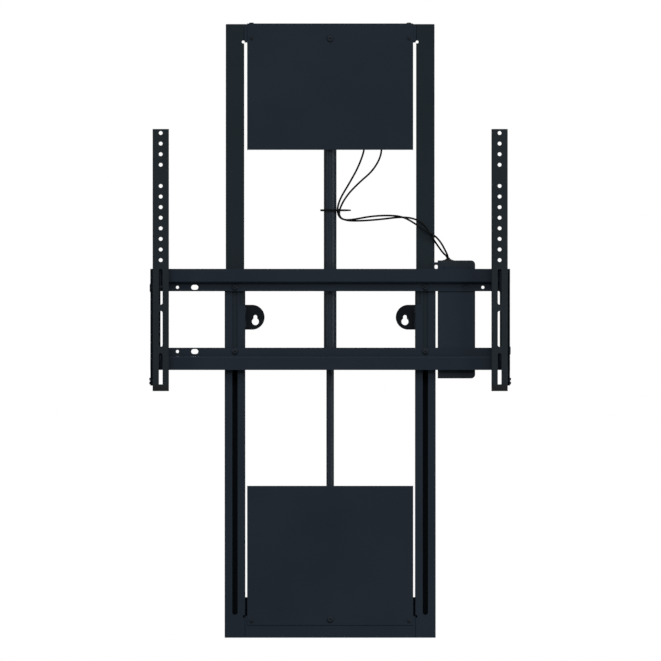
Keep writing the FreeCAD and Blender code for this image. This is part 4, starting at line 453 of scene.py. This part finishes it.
# Sliding frame: two folded channels inside the fixed rails, joined by a folded cross plate
# above, with a plastic glide shoe plugged into each lower end. The channels' coat is a little
# less blue than the frame's.
finish_nodes(frame_paint, "top_plate")
slide_paint = powder_coat("slide_paint", (0.0095, 0.0163, 0.0216), (0.0119, 0.0201, 0.0263))
finish_nodes(slide_paint, "inner_rail_left", "inner_rail_right")
black_plastic = finish("black_plastic", (0.0090, 0.0120, 0.0160), (0.0130, 0.0170, 0.0220), 0.55, 1600.0,
                       relief=0.25, gloss=0.3, edge_wear_and_highlight=0.2)
finish_nodes(black_plastic, "glide_shoe_left", "glide_shoe_right")

# Upper cover: one folded sheet over the gear motor, held by two screws in front and two
# larger ones in the top.
finish_nodes(frame_paint, "top_cover")
top_cover_front, front_screw_height = 0.0589, 1.4168
top_face, top_screw_depth, top_screw_head = 1.4518, 0.0380, 0.0056
top_screws = []
for side in (-1, 1):
    x = side * cover_screw_x
    top_screws.append(pan_screw((x, -top_cover_front, front_screw_height - foot), out))
    top_screws.append(pan_screw((x, -top_screw_depth, top_face - foot), up, top_screw_head))
piece("top_cover_pan_screws", "lift", black_zinc, top_screws, ["top_cover_screws"])

# Upper end of the actuator: a folded hanger behind the cross plate, its domed bolt and nut,
# and a zinc plated pin through the tongue of the motor.
finish_nodes(frame_paint, "motor_hanger")
finish_nodes(zinc_steel, "hanger_pin")
hanger_height, hanger_grip = 1.4157, 0.0066
piece("hanger_domed_bolt", "lift", black_zinc,
      anchor_bolt(top_cover_front, hanger_height - foot, hanger_grip), ["hanger_bolt"])

# Actuator tube: drawn steel with satin paint, with a plastic wiper bush pressed into its foot.
finish_nodes(tube_paint, "actuator_tube")
finish_nodes(black_plastic, "tube_end_bush")

# Bearing housing: die cast and painted, clamped round the tube, with eight ribs below its rim.
# It holds the ball bearing of the spindle and carries the gearbox.
axis = (0.0, -0.0320)
housing_foot, gearbox_foot, motor_foot = 1.2650, 1.3090, 1.3490


def ribbed(count, depth):
    """An outline of rounded ribs: the radius, less a depth that a power of a cosine fills up."""
    def outline(turn, radius):
        return radius - depth * (1 - np.abs(np.cos(count * turn / 2)) ** 6)
    return outline


def upright(height):
    """A point on the axis of the actuator at a height above the foot of the frame."""
    return (*axis, height - foot)


ribs = ribbed(8, 0.0016)
housing_rows = [
    (0.0000, 0.0165, None, None), (0.0012, 0.0176, None, None), (0.0085, 0.0176, None, None),
    (0.0100, 0.0168, None, None), (0.0120, 0.0168, None, None), (0.0140, 0.0184, ribs, None),
    (0.0330, 0.0184, ribs, None), (0.0355, 0.0178, None, None), (0.0370, 0.0190, None, None),
    (0.0436, 0.0190, None, None), (0.0440, 0.0186, None, None), (0.0440, 0.0141, None, None),
    (0.0140, 0.0141, None, None), (0.0140, 0.0070, None, None), (0.0102, 0.0070, None, None),
    (0.0102, 0.0151, None, None), (0.0000, 0.0151, None, None),
]
piece("ribbed_bearing_housing", "lift", tube_paint,
      [turned(upright(housing_foot), up, housing_rows, 96, True)], ["bearing_housing"])

# Spindle group: the ball bearing, the rolled spindle with four starts and a lead of 12 mm, the
# clamp coupling and the shaft of the gearbox, all of ground steel and turning together.
bare_steel = finish("bare_steel", (0.42, 0.42, 0.43), (0.58, 0.58, 0.59), 0.28, 3000.0, relief=0.15,
                    metal=1.0, stretch=(0.08, 0.08, 1))
finish_nodes(bare_steel, "screw_bearing", "shaft_coupling", "gearbox_shaft")


def spindle(centre, length, radius, depth, lead, starts, sides=36):
    """A rolled thread: the radius falls by the depth wherever height and turn say groove.

    The groove's place is the height over the lead less the turn, times the starts. Its shape
    is a cosine pushed through a steep slope, so that crests and roots are flat.
    """
    far = np.linspace(0, length, int(length / lead * 40) + 1)[:, None]
    turn = np.linspace(0, 2 * np.pi, sides, endpoint=False)[None, :]
    phase = starts * (2 * np.pi * far / lead - turn)
    ends = np.clip(np.minimum(far, length - far) / 0.004, 0, 1)
    size = radius - depth * (0.5 - 0.5 * np.clip(1.9 * np.cos(phase), -1, 1)) * ends
    grid = np.stack([size * np.cos(turn), size * np.sin(turn), far + 0 * turn], axis=-1)
    return np.array(centre) + grid, False


spindle_foot, spindle_length, spindle_radius, groove_depth = 0.6505, 0.6495, 0.0060, 0.0009
thread_lead, thread_starts = 0.0120, 4
piece("rolled_spindle", "lead_screw", bare_steel,
      [spindle(upright(spindle_foot), spindle_length, spindle_radius, groove_depth, thread_lead,
               thread_starts)], ["lead_screw"])

# Gearbox: a die cast round housing on the bearing housing, with cooling fins in the middle and
# four socket screws sunk into its upper rim.
gearbox_rows = [(0.0000, 0.0205, None, None), (0.0004, 0.0210, None, None), (0.0036, 0.0210, None, None),
                (0.0042, 0.0203, None, None)]
fin_count, first_fin, fin_pitch = 7, 0.0070, 0.0038
for fin in range(fin_count):
    low = first_fin + fin_pitch * fin
    gearbox_rows += [(low, 0.0192, None, None), (low + 0.0004, 0.0206, None, None),
                     (low + 0.0014, 0.0206, None, None), (low + 0.0018, 0.0192, None, None)]
gearbox_rows += [(0.0356, 0.0203, None, None), (0.0362, 0.0210, None, None), (0.0396, 0.0210, None, None),
                 (0.0400, 0.0206, None, None)]
piece("finned_gearbox", "lift", tube_paint,
      [turned(upright(gearbox_foot), up, gearbox_rows, 96)], ["gearbox"])
rim_circle, rim_head, rim_rise = 0.0194, 0.0013, 0.0010
rim_shank, rim_reach, rim_mouth, rim_sunk = 0.0006, 0.0020, 0.0006, 0.0006
rim_screws = []
for quarter in range(4):
    turn = np.pi / 4 + quarter * np.pi / 2
    seat = (rim_circle * np.cos(turn), axis[1] + rim_circle * np.sin(turn), motor_foot - foot)
    rim_screws.append(screw(seat, up, rim_head, rim_rise, rim_shank, rim_reach, hexagon, rim_mouth,
                            rim_sunk))
piece("gearbox_rim_screws", "lift", black_zinc, rim_screws)

# Motor: a drawn can with a rolled edge on the gearbox, and a cast end bell whose tongue hangs
# on the pin of the hanger.
can_rows = [
    (0.0000, 0.0172, None, None), (0.0004, 0.0180, None, None), (0.0026, 0.0180, None, None),
    (0.0032, 0.0174, None, None), (0.0320, 0.0174, None, None), (0.0326, 0.0169, None, None),
    (0.0338, 0.0169, None, None), (0.0344, 0.0179, None, None), (0.0400, 0.0179, None, None),
    (0.0428, 0.0170, None, None), (0.0440, 0.0150, None, None), (0.0440, 0.0100, None, None),
]


def tongue(centre, half, radius, bore, drop, sides=48):
    """A block with a round end and a cross hole: four loops joined in a ring.

    Each outer loop goes round the end's circle above the hole and, below it, out to the side
    of the block and straight down by the drop, and each inner loop is the circle of the hole.
    """
    turn = np.linspace(0, 2 * np.pi, sides, endpoint=False)
    cos, sin = np.cos(turn), np.sin(turn)
    scale = np.where(sin < 0, 1 / np.maximum(np.abs(cos), np.abs(sin)), 1)
    flat, tall = radius * cos * scale, radius * sin * scale
    tall = np.where(sin < 0, tall * drop / radius, tall)
    loops = []
    for x, y, z in ((-half, flat, tall), (half, flat, tall), (half, bore * cos, bore * sin),
                    (-half, bore * cos, bore * sin)):
        loops.append(np.stack([np.full(sides, x), y, z], axis=-1))
    return np.array(centre) + np.array(loops), True


hanger_pin_height, tongue_drop = 1.4210, 0.0290
tongue_half, tongue_radius, tongue_bore = 0.0090, 0.0090, 0.00405
piece("motor_can_and_tongue", "lift", tube_paint,
      [turned(upright(motor_foot), up, can_rows, 96),
       tongue(upright(hanger_pin_height), tongue_half, tongue_radius, tongue_bore, tongue_drop)],
      ["lift_motor"])
finish_nodes(black_plastic, "motor_terminal")

# Crossbars: two stepped bars of 3 mm steel that carry the arms, each bolted through spacers in
# the guide slots to the sliding rails, with black socket bolts and zinc plated nuts.
finish_nodes(frame_paint, "upper_crossbar", "lower_crossbar")
finish_nodes(zinc_steel, "crossbar_spacers")
bar_bolt_x, bar_bolt_heights, bar_face, nut_face = 0.2250, (0.8281, 0.6765), 0.0670, 0.0490
bar_head, bar_rise, bar_reach, bar_sunk = 0.0070, 0.0044, 0.0180, 0.0026
bar_bolts, bar_nuts = [], []
for side in (-1, 1):
    for height in bar_bolt_heights:
        bar_bolts.append(screw((side * bar_bolt_x, -bar_face, height - foot), out, bar_head, bar_rise,
                               bolt_shank, bar_reach, hexagon, bolt_mouth, bar_sunk))
        bar_nuts.append(nut((side * bar_bolt_x, -nut_face, height - foot), out, nut_across, nut_rise,
                            nut_bore))
piece("crossbar_button_bolts", "lift", black_zinc, bar_bolts, ["crossbar_bolts"])
piece("crossbar_hexagon_nuts", "lift", zinc_steel, bar_nuts, ["crossbar_nuts"])

# Control box: a moulded tray and lid with rounded outer corners, screwed behind a steel plate
# that is welded to the crossbars. Its board and power block stand on bosses inside.
# Painted light: the plate lies under the upper crossbar's step, shaded from above, and its coat is lighter
# than the frame's to make up for that shade.
plate_paint_painted_light = powder_coat("plate_paint_painted_light", (0.0138, 0.0212, 0.0318), (0.0170, 0.0258, 0.0386))
finish_nodes(plate_paint_painted_light, "control_box_plate")
box_plastic = finish("box_plastic", (0.0148, 0.0206, 0.0272), (0.0180, 0.0250, 0.0326), 0.6, 1100.0,
                     relief=0.3, gloss=0.16, edge_wear_and_highlight=0.2)
finish_nodes(box_plastic, "control_box_shell", "control_box_lid")
finish_nodes(black_plastic, "mains_inlet")
box_screw_rows, box_screw_heights = (0.2683, 0.3286), (0.6450, 0.8730)
box_screw_face, box_screw_reach = 0.0600, 0.0040
piece("box_pan_screws", "lift", black_zinc,
      [pan_screw((x, -box_screw_face, height - foot), back, reach=box_screw_reach)
       for x in box_screw_rows for height in box_screw_heights], ["control_box_screws"])
board_laminate = finish("board_laminate", (0.012, 0.075, 0.030), (0.020, 0.120, 0.045), 0.3, 700.0,
                        relief=0.2, gloss=0.5)
finish_nodes(board_laminate, "circuit_board")
supply_case = finish("supply_case", (0.022, 0.023, 0.026), (0.030, 0.032, 0.036), 0.5, 900.0, relief=0.3)
finish_nodes(supply_case, "power_supply")

# Cable gland: a soft rubber grommet in the top of the box, drawn up to a flat sleeve round the
# two cables, with three folds where it flexes.
gland_centre, gland_top = (0.2790, -0.0420), 0.8982 - foot
black_rubber = finish("black_rubber", (0.0050, 0.0053, 0.0060), (0.0085, 0.0090, 0.0100), 0.7, 1800.0,
                      relief=0.35, gloss=0.2)


def grommet(rows, sides=64):
    """Rings whose half widths in x and in depth are given row by row: (height, wide, deep)."""
    turn = np.linspace(0, 2 * np.pi, sides, endpoint=False)[None, :]
    height, wide, deep = (np.array(rows)[:, k][:, None] for k in range(3))
    x, y = gland_centre[0] + wide * np.cos(turn), gland_centre[1] + deep * np.sin(turn)
    return np.stack([x, y, gland_top + height + 0 * turn], axis=-1), False


piece("rubber_cable_grommet", "lift", black_rubber, [grommet([
    (-0.0085, 0.0086, 0.0086), (-0.0080, 0.0090, 0.0090), (-0.0065, 0.0090, 0.0090),
    (-0.0065, 0.0128, 0.0128), (-0.0061, 0.0130, 0.0130), (-0.0056, 0.0127, 0.0128),
    (-0.0051, 0.0105, 0.0112), (-0.0047, 0.0086, 0.0100), (-0.0043, 0.0082, 0.0096),
    (-0.0038, 0.0072, 0.0088), (-0.0033, 0.0060, 0.0080), (-0.0028, 0.0058, 0.0078),
    (-0.0022, 0.0050, 0.0072), (-0.0016, 0.0044, 0.0067), (-0.0010, 0.0042, 0.0065),
    (-0.0004, 0.0040, 0.0064), (0.0000, 0.0036, 0.0060)])], ["cable_gland"])

# Cable tie: a nylon strap round the tube and both cables, pulled through its square head. Its
# tail is left long, narrows to the tip and shows the teeth that the head bites into.
tie_plastic = finish("tie_plastic", (0.0012, 0.0014, 0.0018), (0.0022, 0.0025, 0.0030), 0.55, 1500.0,
                     gloss=0.1)
tie_height, tie_half, tie_sheet = 1.0103 - foot, 0.0024, 0.0013
tube_loop, cable_loop = ((-0.0038, -0.0320), 0.0182), ((0.0198, -0.0387), 0.0067)


def strap():
    """A flat band round two circles: arcs about both, straight between, outward by its sheet.

    The half angle of each arc follows from the two radii and the distance between centres. The
    band's section is a rectangle with cut corners, carried round the path.
    """
    (one, wide), (two, narrow) = tube_loop, cable_loop
    one, two = np.array(one), np.array(two)
    span = two - one
    heading = np.arctan2(span[1], span[0])
    lean = np.arccos((wide - narrow) / np.hypot(*span))
    big_steps, small_steps, cut = 56, 24, 0.0003
    big = np.linspace(heading + lean, heading + 2 * np.pi - lean, big_steps)
    small = np.linspace(heading - lean, heading + lean, small_steps)
    angle = np.concatenate([big, small])
    centre = np.repeat([one, two], [big_steps, small_steps], axis=0)
    radius = np.repeat([wide, narrow], [big_steps, small_steps])
    normal = np.stack([np.cos(angle), np.sin(angle)], axis=-1)
    path = centre + radius[:, None] * normal
    section = np.array([(0, cut - tie_half), (cut, -tie_half), (tie_sheet - cut, -tie_half),
                        (tie_sheet, cut - tie_half), (tie_sheet, tie_half - cut),
                        (tie_sheet - cut, tie_half), (cut, tie_half), (0, tie_half - cut)])
    flat = path[:, None] + section[None, :, 0, None] * normal[:, None]
    tall = tie_height + section[:, 1] + 0 * flat[..., 0]
    return np.concatenate([flat, tall[..., None]], axis=-1)[:, ::-1], True


def block(low, high, round_off, sides=40, power=8.0):
    """A moulded block from its lowest to its highest corner, rounded all over.

    Each ring along the depth is a superellipse, so that its corners are round, and the first
    and last rings draw in by a quarter circle of the given radius.
    """
    low, high = np.array(low), np.array(high)
    middle, half = (low + high) / 2, (high - low) / 2
    turn = np.linspace(0, 2 * np.pi, sides, endpoint=False)
    shape = (np.abs(np.cos(turn)) ** power + np.abs(np.sin(turn)) ** power) ** (-1 / power)
    bend = np.linspace(0, np.pi / 2, 5)
    into = np.concatenate([round_off * (1 - np.sin(bend)), round_off * (1 - np.cos(bend))])
    deep = np.concatenate([low[1] + round_off * (1 - np.cos(bend)), high[1] - round_off * (1 - np.sin(bend))])
    x = middle[0] + (half[0] - into)[:, None] * (shape * np.cos(turn))[None]
    z = middle[2] + (half[2] - into)[:, None] * (shape * np.sin(turn))[None]
    return np.stack([x, deep[:, None] + 0 * x, z], axis=-1)[:, ::-1], False


tail_start, tail_end, tail_back, tail_front = 0.0240, 0.0495, -0.0481, -0.0492
tooth_pitch, tooth_rise, tooth_crest = 0.0012, 0.0003, 0.0002


def tail():
    """A flat bar whose half height narrows from the strap's to two thirds of it at the tip.

    Its front face falls and rises as saw teeth, and the tip is rounded off by a quarter circle.
    """
    far = np.linspace(0, 1, 105)
    x = tail_start + (tail_end - tail_start) * far
    half = tie_half * (1 - 0.35 * far ** 3) * np.sqrt(1 - np.clip((far - 0.93) / 0.071, 0, 1) ** 2)
    tooth = tooth_rise * ((x - tail_start) / tooth_pitch % 1)
    back, front = np.full_like(x, tail_back), tail_front - tooth_crest + tooth
    corners = [(back, -half), (front, -0.8 * half), (front, 0.8 * half), (back, half)]
    return np.stack([np.stack([x, y, tie_height + z], axis=-1) for y, z in corners], axis=1), False


head_low, head_high, head_half, head_round = (0.0169, -0.0502), (0.0246, -0.0461), 0.0036, 0.0008
piece("nylon_cable_tie", "lift", tie_plastic,
      [strap(), block((*head_low, tie_height - head_half), (*head_high, tie_height + head_half), head_round),
       tail()], ["cable_tie"])

# Hook channels: folded channels that hang over the upper crossbar, with a domed tilt bolt and a
# pivot bolt through both flanges, and a slotted screw that keeps them from being lifted off.
finish_nodes(frame_paint, "hook_channel_left", "hook_channel_right")
finish_nodes(black_zinc, "safety_screw_left", "safety_screw_right")
hook_outside, hook_inside = 0.4246, 0.4007
# Painted shade: the tilt and pivot bolts sit in the dark inside the hooks and arms, so they are painted far
# darker than the other zinc.
zinc_in_painted_shade = finish("zinc_in_painted_shade", (0.0030, 0.0040, 0.0054), (0.0046, 0.0060, 0.0080), 0.5, 2200.0,
                     gloss=0.15, edge_wear_and_highlight=0.1)
tilt_depth, tilt_height = 0.1100, 0.8269
pivot_depth, pivot_height = 0.1040, 0.6788
tilt_head, tilt_rise, tilt_sunk, thin_nut_rise = 0.0100, 0.0016, 0.0012, 0.0050
for word, side in (("left", -1), ("right", 1)):
    bolts = []
    for deep, height, head_out in ((tilt_depth, tilt_height, side < 0),
                                   (pivot_depth, pivot_height, side > 0)):
        toward = (side, 0, 0) if head_out else (-side, 0, 0)
        face = hook_outside if head_out else hook_inside
        reach = hook_outside - hook_inside + (thin_nut_rise if head_out else 0)
        place = (side * face, -deep, height - foot)
        bolts.append(screw(place, toward, tilt_head, tilt_rise, bolt_shank, reach, hexagon, bolt_mouth,
                           tilt_sunk))
        if head_out:
            bolts.append(nut((side * (hook_inside - thin_nut_rise), -deep, height - foot), (side, 0, 0),
                             nut_across, thin_nut_rise, nut_bore))
    piece("tilt_bolts_and_nuts_" + word, "hook_" + word, zinc_in_painted_shade, bolts,
          ["tilt_bolts_" + word])

# Television arms: folded channels of 2.5 mm steel with a row of screw holes above, three long
# slots below, in a slightly greyer coat, and a moulded cap with rounded corners over the lower
# end.
arm_paint = powder_coat("arm_paint", (0.0119, 0.0176, 0.0226), (0.0149, 0.0217, 0.0276))
finish_nodes(arm_paint, "tv_arm_left", "tv_arm_right")
cap_plastic = finish("cap_plastic", (0.0066, 0.0083, 0.0097), (0.0082, 0.0104, 0.0118), 0.6, 1400.0,
                     relief=0.3, gloss=0.2)
arm_middle, arm_half = 0.4000, 0.01915
cap_foot, cap_top, cap_sheet, pip_height = 0.5830 - foot, 0.5990 - foot, 0.0014, 0.5926 - foot
cap_front, cap_lap, cap_rear, pip_seat = 0.1264, 0.1252, 0.1000, 0.1262
skin_round, base_round, cap_sides = 0.0007, 0.0004, 96
pip_rows = [(0.0000, 0.0016, None, None), (0.0005, 0.0016, None, None), (0.0008, 0.0011, None, None),
            (0.0009, 0.0005, None, None)]
for word, side in (("left", -1), ("right", 1)):
    low_x, high_x = side * arm_middle - arm_half, side * arm_middle + arm_half
    skin = block((low_x, -cap_front, cap_foot), (high_x, cap_sheet - cap_front, cap_top), skin_round,
                 cap_sides, 14.0)
    base = block((low_x, -cap_lap, cap_foot), (high_x, -cap_rear, cap_foot + cap_sheet), base_round,
                 cap_sides, 24.0)
    pip = turned((side * arm_middle, -pip_seat, pip_height), out, pip_rows, 24)
    piece("moulded_end_cap_" + word, "arm_" + word, cap_plastic, [skin, base, pip],
          ["arm_end_cap_" + word])
